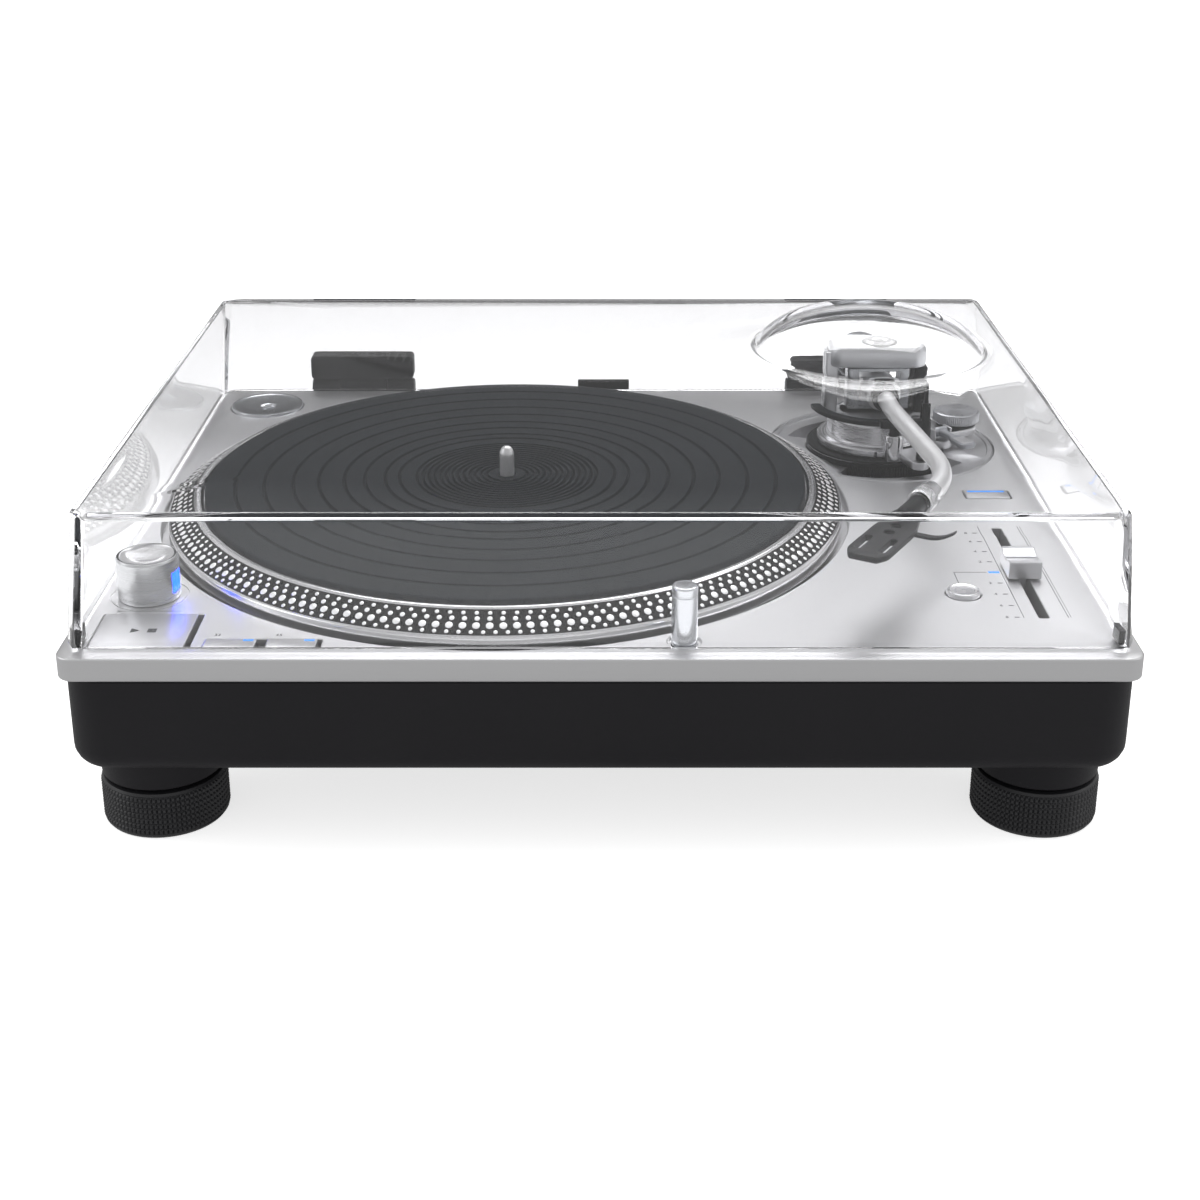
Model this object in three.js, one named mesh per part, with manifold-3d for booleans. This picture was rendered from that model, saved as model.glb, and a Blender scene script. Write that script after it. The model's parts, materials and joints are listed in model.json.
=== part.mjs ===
// Direct-drive record player with a hinged clear cover, in millimetres.
// +X points right, +Y to the hinges at the back and +Z up. The origin lies on the surface that the
// player stands on, under the middle of its outline.
import * as THREE from "three";
import { mergeVertices } from "three/addons/utils/BufferGeometryUtils.js";
import Module from "manifold-3d";

const wasm = await Module();
wasm.setup();

// ---- Driving sizes ----

const GAP = 0.3; // between pieces that touch
const PLINTH_WIDTH = 453;
const PLINTH_DEPTH = 358;
const HINGE_REACH = 14; // how far the hinges stand out behind the plinth
const PLINTH_CORNER = 8;
const FOOT_HEIGHT = 22.5;
const FOOT_RADIUS = 28;
const FOOT_CLEARANCE = 1.5; // under the boss that the foot screws into
const FOOT_INSET = 31;
const FOOT_FRONT_INSET = 46;
const STUD_RADIUS = 6;
const STUD_LENGTH = 34;
const BOSS_HEIGHT = 17.5;
const BASE_HEIGHT = 44.5;
const BASE_WALL = 4;
const BASE_INSET = 0.8;
const BASE_ROUNDING = 10;
const DECK_THICKNESS = 10.5;

const PLATTER_RADIUS = 166;
const PLATTER_BEVEL = 14; // width of the sloping rim
const PLATTER_RISE = 12.5; // of the rim's top over the deck
const MAT_THICKNESS = 3;
const MAT_MARGIN = 4; // between the mat and the inside of the sloping rim
const SPINDLE_RADIUS = 3.6;
const SPINDLE_RISE = 14.5; // over the mat
const WELL_CLEARANCE = 3.5;
const WELL_DEPTH = 6.5;
const MOTOR_RADIUS = 60;

const EFFECTIVE_LENGTH = 224; // from the arm's pivot to the needle's place
const OVERHANG = 13; // of the needle's place past the spindle
const OFFSET_ANGLE = 21.75; // of the headshell to the line from pivot to needle
const AIM_ANGLE = 10.25; // of that line to the bearing's own axis
const PIVOT_BEARING = 22.6; // direction from spindle to pivot
const REST_ANGLE = 2; // of the bearing's axis at rest
const ARM_HEIGHT = 35; // of the tube over the deck
const TUBE_RADIUS = 4.6;
const TUBE_WALL = 1.2;
const TUBE_BEND = 26;
const HEADSHELL_LENGTH = 48;
const HEADSHELL_WIDTH = 19;
const COUNTERWEIGHT_RADIUS = 15;
const ARM_PLATE_RADIUS = 60;
const HEIGHT_RING_RADIUS = 36.5;

const COVER_HEIGHT = 59.7;
const COVER_WALL = 3;
const COVER_DRAFT = 4; // of each end wall
const COVER_SIDE_DRAFT = 5.3;
const COVER_SIDE_INSET = 2.9;
const COVER_FRONT_INSET = 8;
const COVER_LIFT = 0.8; // of its lower edge over the deck
const DOME_RADIUS = 61.6;
const DOME_HEIGHT = 19;
const HINGE_WIDTH = 60;
const HINGE_SPACING = 280;

const CUE_LIGHT_RADIUS = 5.5;
const CUE_LIGHT_RISE = 26;
const ADAPTER_RADIUS = 20.5;
const BUTTON_GAP = 0.5;
const BUTTON_PROUD = 0.5;
const FADER_SLOT_LENGTH = 106.1;
const FADER_FROM_SLOT_END = 50.2; // of the knob's middle, half way along its scale
const ARM_PLATE_OFFSET = [4.5, 4.5]; // of the plate's middle from the arm's pivot
const DOME_OFFSET = [-6.8, -7];

// Where each thing stands on the deck, from the deck's own edges. A button's place is the corner
// nearest the edges that it is measured from, with its width and depth.
const PLACES = {
  spindle: { fromLeft: 180.2, fromFront: 178.4 },
  strobeTower: { fromLeft: 26.5, fromFront: 66 },
  adapter: { fromLeft: 34.8, fromBack: 30 },
  cueLight: { fromLeft: 262, fromFront: 18.5 },
  resetButton: { fromRight: 64.5, fromFront: 68 },
  faderSlot: { fromRight: 34.1, fromFront: 41.8 },
  rangeButton: { fromRight: 20, fromFront: 182, width: 22, depth: 10.7 },
  startButton: { fromLeft: 12, fromFront: 10.8, width: 40.3, depth: 34.7 },
  speedButton33: { fromLeft: 60.1, fromFront: 10.8, width: 21.7, depth: 9.7 },
  speedButton45: { fromLeft: 86.2, fromFront: 10.8, width: 21.3, depth: 9.7 },
};

// How many sides the round pieces have.
const LARGE = 60;
const ROUND = 24;
const SMALL = 12;

// ---- Places worked out from them ----

const baseBottom = FOOT_HEIGHT + FOOT_CLEARANCE + BOSS_HEIGHT;
const deckUnderside = baseBottom + BASE_HEIGHT;
const deckTop = deckUnderside + DECK_THICKNESS;
const left = -PLINTH_WIDTH / 2;
const right = PLINTH_WIDTH / 2;
const front = -(PLINTH_DEPTH + HINGE_REACH) / 2;
const back = front + PLINTH_DEPTH;
const baseFloor = baseBottom + BASE_WALL;

// A point on the deck from its distances to the edges.
function onDeck({ fromLeft, fromRight, fromFront, fromBack }) {
  const x = fromLeft === undefined ? right - fromRight : left + fromLeft;
  const y = fromFront === undefined ? back - fromBack : front + fromFront;
  return [x, y];
}

// A rectangle on the deck as x0, y0, x1, y1.
function deckBox({ width, depth, ...edges }) {
  const [x, y] = onDeck(edges);
  const x0 = edges.fromLeft === undefined ? x - width : x;
  return [x0, y, x0 + width, y + depth];
}

const wellRadius = PLATTER_RADIUS + WELL_CLEARANCE;
const matRadius = PLATTER_RADIUS - PLATTER_BEVEL - MAT_MARGIN;
const spindleAt = onDeck(PLACES.spindle);
const pivotAt = stepFrom(spindleAt, EFFECTIVE_LENGTH - OVERHANG, PIVOT_BEARING);
const armPlateAt = [pivotAt[0] + ARM_PLATE_OFFSET[0], pivotAt[1] + ARM_PLATE_OFFSET[1]];
const domeAt = [pivotAt[0] + DOME_OFFSET[0], pivotAt[1] + DOME_OFFSET[1]];
const towerAt = onDeck(PLACES.strobeTower);
const adapterAt = onDeck(PLACES.adapter);
const cueLightAt = onDeck(PLACES.cueLight);
const resetAt = onDeck(PLACES.resetButton);
const [faderX, slotFront] = onDeck(PLACES.faderSlot);
const slotBack = slotFront + FADER_SLOT_LENGTH;
const faderY = slotFront + FADER_FROM_SLOT_END;
const rangeButtonBox = deckBox(PLACES.rangeButton);
const startButtonBox = deckBox(PLACES.startButton);
const speedButtonBoxes = [deckBox(PLACES.speedButton33), deckBox(PLACES.speedButton45)];
const hingeAxis = [back + HINGE_REACH / 2, deckTop - 0.5]; // its Y and Z
const matTop = deckTop + PLATTER_RISE - 1.8 + GAP + MAT_THICKNESS;

// ---- Small helpers ----

function radians(degrees) {
  return THREE.MathUtils.degToRad(degrees);
}

function stepFrom([x, y], distance, degrees) {
  return [x + distance * Math.cos(radians(degrees)), y + distance * Math.sin(radians(degrees))];
}

// A closed geometry as a solid that can be joined and cut.
function solid(geometry) {
  const bare = geometry.index ? geometry.toNonIndexed() : geometry.clone();
  bare.deleteAttribute("normal");
  bare.deleteAttribute("uv");
  const merged = mergeVertices(bare, 1e-4);
  const corners = merged.index.array;
  const kept = [];
  for (let i = 0; i < corners.length; i += 3) {
    const [a, b, c] = [corners[i], corners[i + 1], corners[i + 2]];
    if (a !== b && b !== c && c !== a) kept.push(a, b, c);
  }
  return new wasm.Manifold(
    new wasm.Mesh({
      numProp: 3,
      vertProperties: merged.attributes.position.array,
      triVerts: new Uint32Array(kept),
    }),
  );
}

function geometryOf(made) {
  const mesh = made.getMesh();
  const geometry = new THREE.BufferGeometry();
  geometry.setAttribute("position", new THREE.BufferAttribute(mesh.vertProperties, 3));
  geometry.setIndex(new THREE.BufferAttribute(mesh.triVerts, 1));
  return geometry;
}

function join(first, ...others) {
  return others.reduce((whole, piece) => whole.add(piece), first);
}

function cut(first, ...tools) {
  return tools.reduce((rest, tool) => rest.subtract(tool), first);
}

function block([x0, y0, z0], [x1, y1, z1]) {
  const box = new THREE.BoxGeometry(x1 - x0, y1 - y0, z1 - z0);
  return solid(box.translate((x0 + x1) / 2, (y0 + y1) / 2, (z0 + z1) / 2));
}

// A standing cylinder or cone frustum.
function disc(radius, low, high, [x, y] = [0, 0], sides = ROUND, topRadius = radius) {
  const round = new THREE.CylinderGeometry(topRadius, radius, high - low, sides);
  return solid(round.rotateX(Math.PI / 2).translate(x, y, (low + high) / 2));
}

// A cylinder lying along Y.
function rod(radius, y0, y1, [x, z] = [0, 0], sides = SMALL, farRadius = radius) {
  const round = new THREE.CylinderGeometry(farRadius, radius, y1 - y0, sides);
  return solid(round.translate(x, (y0 + y1) / 2, z));
}

// A cylinder lying along X.
function pin(radius, x0, x1, [y, z], sides = SMALL) {
  const round = new THREE.CylinderGeometry(radius, radius, x1 - x0, sides);
  return solid(round.rotateZ(-Math.PI / 2).translate((x0 + x1) / 2, y, z));
}

// A profile of [radius, height] corners turned about a standing axis.
function turned(profile, [x, y] = [0, 0], sides = ROUND) {
  const onAxis = profile[0][0] === 0 && profile.at(-1)[0] === 0;
  const closed = onAxis ? profile : [...profile, profile[0]];
  const area = closed.slice(1).reduce((sum, [r, z], i) => sum + closed[i][0] * z - r * closed[i][1], 0);
  const ordered = area > 0 ? closed : [...closed].reverse();
  const lathe = new THREE.LatheGeometry(
    ordered.map(([r, z]) => new THREE.Vector2(r, z)),
    sides,
  );
  return solid(lathe.rotateX(Math.PI / 2).translate(x, y, 0));
}

function ring(outer, inner, low, high, at, sides = ROUND) {
  return turned([[inner, low], [outer, low], [outer, high], [inner, high]], at, sides);
}

function roundedRectangle(x0, y0, x1, y1, corner) {
  const outline = new THREE.Shape();
  outline.moveTo(x0 + corner, y0);
  outline.lineTo(x1 - corner, y0);
  outline.absarc(x1 - corner, y0 + corner, corner, -Math.PI / 2, 0);
  outline.lineTo(x1, y1 - corner);
  outline.absarc(x1 - corner, y1 - corner, corner, 0, Math.PI / 2);
  outline.lineTo(x0 + corner, y1);
  outline.absarc(x0 + corner, y1 - corner, corner, Math.PI / 2, Math.PI);
  outline.lineTo(x0, y0 + corner);
  outline.absarc(x0 + corner, y0 + corner, corner, Math.PI, Math.PI * 1.5);
  return outline;
}

// A flat outline raised from one height to another, with its edges rounded by bevel.
function plate(outline, low, high, bevel = 0, curveSegments = 6, bevelSegments = 1) {
  const raised = new THREE.ExtrudeGeometry(outline, {
    depth: high - low - 2 * bevel,
    bevelEnabled: bevel > 0,
    bevelThickness: bevel,
    bevelSize: bevel,
    bevelOffset: -bevel,
    bevelSegments,
    curveSegments,
  });
  return solid(raised.translate(0, 0, low + bevel));
}

// Part of a flat ring, between two directions.
function ringSector(inner, outer, from, to, low, high, [x, y] = [0, 0]) {
  const outline = new THREE.Shape();
  outline.absarc(x, y, outer, radians(from), radians(to));
  outline.absarc(x, y, inner, radians(to), radians(from), true);
  return plate(outline, low, high, 0, 10);
}

// A solid turned about an axis through the origin and then moved.
function placed(made, { axis = [0, 0, 1], degrees = 0, to = [0, 0, 0] }) {
  const geometry = geometryOf(made);
  const turn = new THREE.Matrix4().makeRotationAxis(new THREE.Vector3(...axis).normalize(), radians(degrees));
  geometry.applyMatrix4(turn).translate(...to);
  return solid(geometry);
}

// ---- Materials ----

function finish(color, roughness, metalness, extra = {}) {
  return () => new THREE.MeshStandardMaterial({ color, roughness, metalness, ...extra });
}

const brushedDeck = finish(0xd2d4d7, 0.38, 0.9);
const polishedAluminium = finish(0xe2e4e6, 0.18, 1);
const spunAluminium = finish(0xc9cbce, 0.28, 1);
const castMetal = finish(0xaeb1b5, 0.42, 0.8);
const blackMoulding = finish(0x2b2a2e, 0.55, 0);
const blackRubber = finish(0x1d1d1f, 0.85, 0);
const slateRubber = finish(0x3c4147, 0.9, 0);
const blackMetal = finish(0x1a1b1e, 0.35, 0.6);
const clearAcrylic = finish(0xf4f8fb, 0.04, 0, { transparent: true, opacity: 0.25 });
const copperWinding = finish(0xb06a35, 0.4, 0.9);
const greenBoard = finish(0x1f5a3a, 0.6, 0.1);
const blueLamp = finish(0x3a8dff, 0.3, 0, { emissive: 0x2a7dff });
const brassPlating = finish(0xd8b25a, 0.25, 1);

// ---- The object ----

const player = new THREE.Group();

function add(name, made, material, group = player) {
  const mesh = new THREE.Mesh(geometryOf(made), material());
  mesh.name = name;
  group.add(mesh);
  return mesh;
}

// The four corners where feet screw in, with their names.
const footCorners = [
  ["front_left", left + FOOT_INSET, front + FOOT_FRONT_INSET],
  ["front_right", right - FOOT_INSET, front + FOOT_FRONT_INSET],
  ["back_left", left + FOOT_INSET, back - FOOT_FRONT_INSET],
  ["back_right", right - FOOT_INSET, back - FOOT_FRONT_INSET],
];

const footLow = baseBottom - BOSS_HEIGHT;
const studTop = footLow + STUD_LENGTH;
const pedestalTop = deckUnderside - 5;
const bearingRadius = 9.5;

// Where the sockets go through the back wall: x from, x to, z from, z to.
const terminalWindow = [52, 116, baseBottom + 12, baseBottom + 36];
const inletWindow = [-96, -68, baseBottom + 12, baseBottom + 33];

function baseShell() {
  const outline = roundedRectangle(
    left + BASE_INSET, front + BASE_INSET, right - BASE_INSET, back - BASE_INSET,
    PLINTH_CORNER + BASE_ROUNDING,
  );
  const rounded = plate(outline, baseBottom, deckUnderside + BASE_ROUNDING, BASE_ROUNDING, 3, 3);
  const outside = cut(rounded, block([left, front, deckUnderside - GAP], [right, back, deckUnderside + 30]));
  const inset = BASE_INSET + BASE_WALL;
  const hollow = plate(
    roundedRectangle(left + inset, front + inset, right - inset, back - inset, PLINTH_CORNER + 4),
    baseFloor, deckUnderside + 10, 0, 3,
  );
  const bosses = footCorners.map(([, x, y]) =>
    disc(FOOT_RADIUS - 1, footLow, baseBottom + 3, [x, y], ROUND, FOOT_RADIUS + 1),
  );
  const towers = footCorners.map(([, x, y]) =>
    disc(STUD_RADIUS + 4, baseFloor - 1, studTop + 6, [x, y], SMALL),
  );
  const bores = footCorners.map(([, x, y]) =>
    disc(STUD_RADIUS + GAP, footLow - 5, studTop + 3, [x, y], SMALL),
  );
  const pedestal = disc(34, baseFloor - 1, pedestalTop, spindleAt, SMALL, 28);
  const bearingBore = disc(bearingRadius + GAP, baseFloor + 6, pedestalTop + 5, spindleAt, SMALL);
  const windows = [terminalWindow, inletWindow].map(([x0, x1, z0, z1]) =>
    block([x0, back - 20, z0], [x1, back + 5, z1]),
  );
  const trayed = cut(outside, hollow);
  return cut(join(trayed, ...bosses, ...towers, pedestal), ...bores, bearingBore, ...windows);
}

function boxHole([x0, y0, x1, y1], clearance) {
  return block(
    [x0 - clearance, y0 - clearance, deckUnderside - 5],
    [x1 + clearance, y1 + clearance, deckTop + 5],
  );
}

function roundHole(at, radius, depth = DECK_THICKNESS + 5, sides = SMALL) {
  return disc(radius, deckTop - depth, deckTop + 5, at, sides);
}

const plateWeb = 3; // of deck left between the platter's well and the arm's recess
const armRecessDepth = 8;

function armRecess(clearance) {
  const round = disc(ARM_PLATE_RADIUS + clearance, deckTop - armRecessDepth, deckTop + 5, armPlateAt, LARGE);
  const web = disc(wellRadius + plateWeb + GAP - clearance, deckTop - 20, deckTop + 10, spindleAt, LARGE);
  return cut(round, web);
}

function deckPanel() {
  const outline = roundedRectangle(left, front, right, back, PLINTH_CORNER);
  const blank = plate(outline, deckUnderside, deckTop, 0.8, 6, 1);
  const slot = block([faderX - 2.3, slotFront, deckUnderside - 5], [faderX + 2.3, slotBack, deckTop + 5]);
  return cut(
    blank,
    disc(wellRadius, deckTop - WELL_DEPTH, deckTop + 5, spindleAt, LARGE),
    roundHole(spindleAt, MOTOR_RADIUS + 2, DECK_THICKNESS + 5, ROUND),
    armRecess(GAP),
    roundHole(towerAt, 10),
    roundHole(adapterAt, ADAPTER_RADIUS + GAP, 7, ROUND),
    roundHole(cueLightAt, CUE_LIGHT_RADIUS + GAP),
    roundHole(cueLightAt, CUE_LIGHT_RADIUS + 1.6, 1.2),
    roundHole(resetAt, 7.5 + BUTTON_GAP),
    slot,
    boxHole(startButtonBox, BUTTON_GAP),
    boxHole(rangeButtonBox, BUTTON_GAP),
    ...speedButtonBoxes.map((box) => boxHole(box, BUTTON_GAP)),
  );
}

// ---- Drive ----

function motorStator() {
  const board = ring(MOTOR_RADIUS - 2, bearingRadius + 7.5, deckUnderside - 4, deckUnderside - 2, spindleAt);
  const core = ring(42, bearingRadius + 7.5, deckUnderside - 2.5, deckUnderside + 7, spindleAt);
  const slots = Array.from({ length: 9 }, (_, i) => {
    const spoke = block([30, -2, deckUnderside], [50, 2, deckUnderside + 9]);
    return placed(spoke, { degrees: i * 40, to: [...spindleAt, 0] });
  });
  return join(cut(core, ...slots), board);
}

function spindleBearing() {
  return turned(
    [
      [0, baseFloor + 6 + GAP],
      [bearingRadius, baseFloor + 6 + GAP],
      [bearingRadius, pedestalTop + GAP],
      [bearingRadius + 6.5, pedestalTop + GAP],
      [bearingRadius + 6.5, pedestalTop + 4],
      [bearingRadius, pedestalTop + 4],
      [bearingRadius - 1.5, deckTop - 1],
      [SPINDLE_RADIUS + 0.3, deckTop - 1],
      [SPINDLE_RADIUS + 0.3, baseFloor + 12],
      [0, baseFloor + 12],
    ],
    spindleAt, SMALL,
  );
}

const platterLip = deckTop + PLATTER_RISE;
const matSeat = platterLip - 1.8;
const hubLow = deckTop + 0.5;

function platter() {
  const rimLow = deckTop - WELL_DEPTH + 2.5;
  const lipRadius = PLATTER_RADIUS - PLATTER_BEVEL;
  return turned(
    [
      [SPINDLE_RADIUS + GAP, hubLow],
      [18, hubLow],
      [18, matSeat - 8],
      [PLATTER_RADIUS - 12, matSeat - 8],
      [PLATTER_RADIUS - 7, rimLow],
      [PLATTER_RADIUS, rimLow],
      [PLATTER_RADIUS, deckTop + 4.5],
      [lipRadius, platterLip],
      [matRadius + 2, platterLip],
      [matRadius + 1, matSeat],
      [SPINDLE_RADIUS + GAP, matSeat],
    ],
    spindleAt, LARGE,
  );
}

function platterMat() {
  return ring(matRadius, SPINDLE_RADIUS + GAP, matSeat + GAP, matTop, spindleAt, LARGE);
}

function rotorMagnet() {
  return ring(MOTOR_RADIUS - 4, 46, deckUnderside + 2, matSeat - 8 - GAP, spindleAt);
}

function spindle() {
  const tip = matTop + SPINDLE_RISE;
  return turned(
    [
      [0, baseFloor + 12 + GAP],
      [SPINDLE_RADIUS, baseFloor + 12 + GAP],
      [SPINDLE_RADIUS, tip - 3],
      [SPINDLE_RADIUS - 1.2, tip - 0.8],
      [0, tip],
    ],
    spindleAt, SMALL,
  );
}

// ---- Electrics inside and sockets at the back ----

function powerSupply() {
  const at = [left + 24, back - 120];
  const board = block([at[0], at[1], baseFloor + GAP], [at[0] + 74, at[1] + 60, baseFloor + 2]);
  const transformer = block([at[0] + 8, at[1] + 8, baseFloor + 1], [at[0] + 44, at[1] + 50, baseFloor + 27]);
  const capacitor = disc(8, baseFloor + 1, baseFloor + 24, [at[0] + 60, at[1] + 20], SMALL);
  const heatsink = block([at[0] + 52, at[1] + 38, baseFloor + 1], [at[0] + 70, at[1] + 52, baseFloor + 20]);
  return join(board, transformer, capacitor, heatsink);
}

function controlBoard() {
  const at = [left + 66, front + 34];
  const board = block([at[0], at[1], baseFloor + GAP], [at[0] + 130, at[1] + 44, baseFloor + 2]);
  const chips = [14, 44, 74, 104].map((x) =>
    block([at[0] + x, at[1] + 12, baseFloor + 1], [at[0] + x + 14, at[1] + 28, baseFloor + 5]),
  );
  return join(board, ...chips);
}

const jackXs = [64, 84];
const groundX = 102;
const jackZ = baseBottom + 24;
const jackRadius = 4.2;

function terminalPanel() {
  const [x0, x1, z0, z1] = terminalWindow;
  const y = back - BASE_INSET - BASE_WALL;
  const panel = block([x0 + GAP, y, z0 + GAP], [x1 - GAP, y + 2, z1 - GAP]);
  const holes = jackXs.map((x) => rod(jackRadius + GAP, y - 5, y + 5, [x, jackZ]));
  return cut(panel, ...holes, rod(2.5 + GAP, y - 5, y + 5, [groundX, jackZ]));
}

// A phono socket: a flange behind the panel, a sleeve through it and a hole for the plug's pin.
function phonoJack(x) {
  const y = back - BASE_INSET - BASE_WALL;
  const flange = rod(6.5, y - 4, y - GAP, [x, jackZ]);
  const sleeve = rod(jackRadius, y - GAP, y + 11, [x, jackZ]);
  return cut(join(flange, sleeve), rod(1.7, y - 2, y + 12, [x, jackZ], 10));
}

function groundPost() {
  const y = back - BASE_INSET - BASE_WALL;
  const screw = rod(2.5, y - 4, y + 5, [groundX, jackZ]);
  const head = rod(5, y + 4, y + 10, [groundX, jackZ], 12);
  const nut = rod(4.5, y - 4, y - GAP, [groundX, jackZ], 6);
  return join(screw, head, nut);
}

function acInlet() {
  const [x0, x1, z0, z1] = inletWindow;
  const wallOuter = back - BASE_INSET;
  const body = block([x0 + GAP, back - 22, z0 + GAP], [x1 - GAP, wallOuter, z1 - GAP]);
  const flange = block([x0 - 5, wallOuter + GAP, z0 - 3], [x1 + 5, wallOuter + 2.5, z1 + 3]);
  const neck = block([x0 + GAP, wallOuter - 1, z0 + GAP], [x1 - GAP, wallOuter + 1, z1 - GAP]);
  const cavity = block([x0 + 3, back - 17, z0 + 3], [x1 - 3, wallOuter + 5, z1 - 3]);
  const middle = (x0 + x1) / 2;
  const blades = [middle - 4.5, middle + 4.5].map((x) =>
    block([x - 1, back - 18, (z0 + z1) / 2 - 2.5], [x + 1, back - 5, (z0 + z1) / 2 + 2.5]),
  );
  return join(cut(join(body, neck, flange), cavity), ...blades);
}

// ---- Controls ----

const towerHeight = 20;
const towerRadius = 13.5;
const lensDirection = -12; // towards the platter's rim, slightly to the front

function strobeTower() {
  const body = turned(
    [
      [0, deckTop - DECK_THICKNESS - 8],
      [9.5, deckTop - DECK_THICKNESS - 8],
      [9.5, deckTop + GAP],
      [towerRadius, deckTop + GAP],
      [towerRadius, deckTop + towerHeight - 0.5],
      [towerRadius - 0.5, deckTop + towerHeight],
      [towerRadius - 1.2, deckTop + towerHeight],
      [towerRadius - 1.2, deckTop + towerHeight - 6],
      [0, deckTop + towerHeight - 6],
    ],
    towerAt,
  );
  const bore = disc(3 + GAP, deckTop + 4, deckTop + towerHeight, towerAt, SMALL);
  return cut(body, bore, lensBlock(GAP));
}

function lensBlock(clearance) {
  const window = block(
    [towerRadius - 4 - clearance, -3.5 - clearance, 4 - clearance],
    [towerRadius + 0.3 + clearance, 3.5 + clearance, 13 + clearance],
  );
  return placed(window, { degrees: lensDirection, to: [...towerAt, deckTop] });
}

function powerDial() {
  const top = deckTop + towerHeight;
  return turned(
    [
      [0, top - 14],
      [3, top - 14],
      [3, top - 5.7],
      [towerRadius - 1.6, top - 5.7],
      [towerRadius - 1.6, top + 0.2],
      [towerRadius - 2.4, top + 0.8],
      [towerRadius - 5, top + 0.4],
      [0, top + 0.1],
    ],
    towerAt,
  );
}

function boxButton([x0, y0, x1, y1]) {
  const bottom = deckUnderside - 3;
  const keycap = plate(roundedRectangle(x0, y0, x1, y1, 1), bottom, deckTop + BUTTON_PROUD, 0.4, 3);
  const plunger = block(
    [(x0 + x1) / 2 - 2, (y0 + y1) / 2 - 2, bottom - 6],
    [(x0 + x1) / 2 + 2, (y0 + y1) / 2 + 2, bottom + 1],
  );
  return join(keycap, plunger);
}

function resetButton() {
  return turned(
    [
      [0, deckUnderside - 8],
      [2, deckUnderside - 8],
      [2, deckUnderside - 2],
      [7.5, deckUnderside - 2],
      [7.5, deckTop + 1.6],
      [6.8, deckTop + 2.2],
      [0, deckTop + 1.9],
    ],
    resetAt, SMALL,
  );
}

function cueLight() {
  const top = deckTop + CUE_LIGHT_RISE;
  return turned(
    [
      [0, deckUnderside - 4],
      [CUE_LIGHT_RADIUS, deckUnderside - 4],
      [CUE_LIGHT_RADIUS, top - 0.8],
      [CUE_LIGHT_RADIUS - 0.8, top],
      [0, top],
    ],
    cueLightAt, SMALL,
  );
}

function adapter45() {
  const low = deckTop - 7 + GAP;
  const rim = deckTop + 1.6;
  return turned(
    [
      [SPINDLE_RADIUS + GAP, low],
      [ADAPTER_RADIUS - 2, low],
      [ADAPTER_RADIUS, low + 2],
      [ADAPTER_RADIUS, rim - 0.6],
      [ADAPTER_RADIUS - 0.6, rim],
      [SPINDLE_RADIUS + 5, rim - 1],
      [SPINDLE_RADIUS + GAP, rim - 1.4],
    ],
    adapterAt,
  );
}

const faderKnob = { width: 15, length: 20, height: 9 };
const stemOffset = -3;

function pitchFader() {
  const { width, length, height } = faderKnob;
  const cap = plate(
    roundedRectangle(faderX - width / 2, faderY - length / 2, faderX + width / 2, faderY + length / 2, 2),
    deckTop + 0.8, deckTop + height, 0.8, 3,
  );
  const hollow = pin(14, faderX - width, faderX + width, [faderY, deckTop + height + 12.2], LARGE);
  const stem = block(
    [faderX - 1.6, faderY + stemOffset - 3, deckUnderside - 8],
    [faderX + 1.6, faderY + stemOffset + 3, deckTop + 1.6],
  );
  return join(cut(cap, hollow), stem);
}

// The fader's frame hangs under the deck, with a channel for the knob's stem.
function pitchFaderUnit() {
  const frame = block(
    [faderX - 9, slotFront - 10, deckUnderside - 20],
    [faderX + 9, slotBack + 10, deckUnderside - GAP],
  );
  const channel = block(
    [faderX - 3, slotFront, deckUnderside - 14],
    [faderX + 3, slotBack, deckUnderside + 5],
  );
  return cut(frame, channel);
}

// ---- Dust cover and hinges ----

// A box with rounded corners whose walls lean in as they rise.
function draftedBox(inset, low, high) {
  const x0 = left + COVER_SIDE_INSET;
  const y0 = front + COVER_FRONT_INSET;
  const [x1, y1] = [-x0, back];
  const raised = plate(roundedRectangle(x0, y0, x1, y1, 6), low, high, 0, 3);
  const geometry = geometryOf(raised);
  const spots = geometry.attributes.position;
  const [cx, cy] = [(x0 + x1) / 2, (y0 + y1) / 2];
  for (let i = 0; i < spots.count; i += 1) {
    const rise = (spots.getZ(i) - deckTop) / COVER_HEIGHT;
    const [halfX, halfY] = [(x1 - x0) / 2, (y1 - y0) / 2];
    const narrowX = (halfX - inset - COVER_SIDE_DRAFT * rise) / halfX;
    const narrowY = (halfY - inset - COVER_DRAFT * rise) / halfY;
    spots.setX(i, cx + (spots.getX(i) - cx) * narrowX);
    spots.setY(i, cy + (spots.getY(i) - cy) * narrowY);
  }
  return solid(geometry);
}

// The raised round of the cover over the arm's bearing: its height falls with the fourth power.
function dome(inset) {
  const steps = 6;
  const reach = DOME_RADIUS - inset;
  const flat = deckTop + COVER_HEIGHT;
  const curve = Array.from({ length: steps + 1 }, (_, i) => {
    const share = 1 - i / steps;
    return [reach * share, flat - inset + DOME_HEIGHT * (1 - share ** 4)];
  });
  return turned([[0, flat - 8], [reach, flat - 8], ...curve], domeAt, 40);
}

function dustCover() {
  const top = deckTop + COVER_HEIGHT;
  const outer = join(draftedBox(0, deckTop + COVER_LIFT, top), dome(0));
  const inner = join(draftedBox(COVER_WALL, deckTop - 5, top - COVER_WALL), dome(COVER_WALL));
  return cut(outer, inner);
}

const knuckleRadius = 6;
const knuckleHalf = 14;

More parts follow.
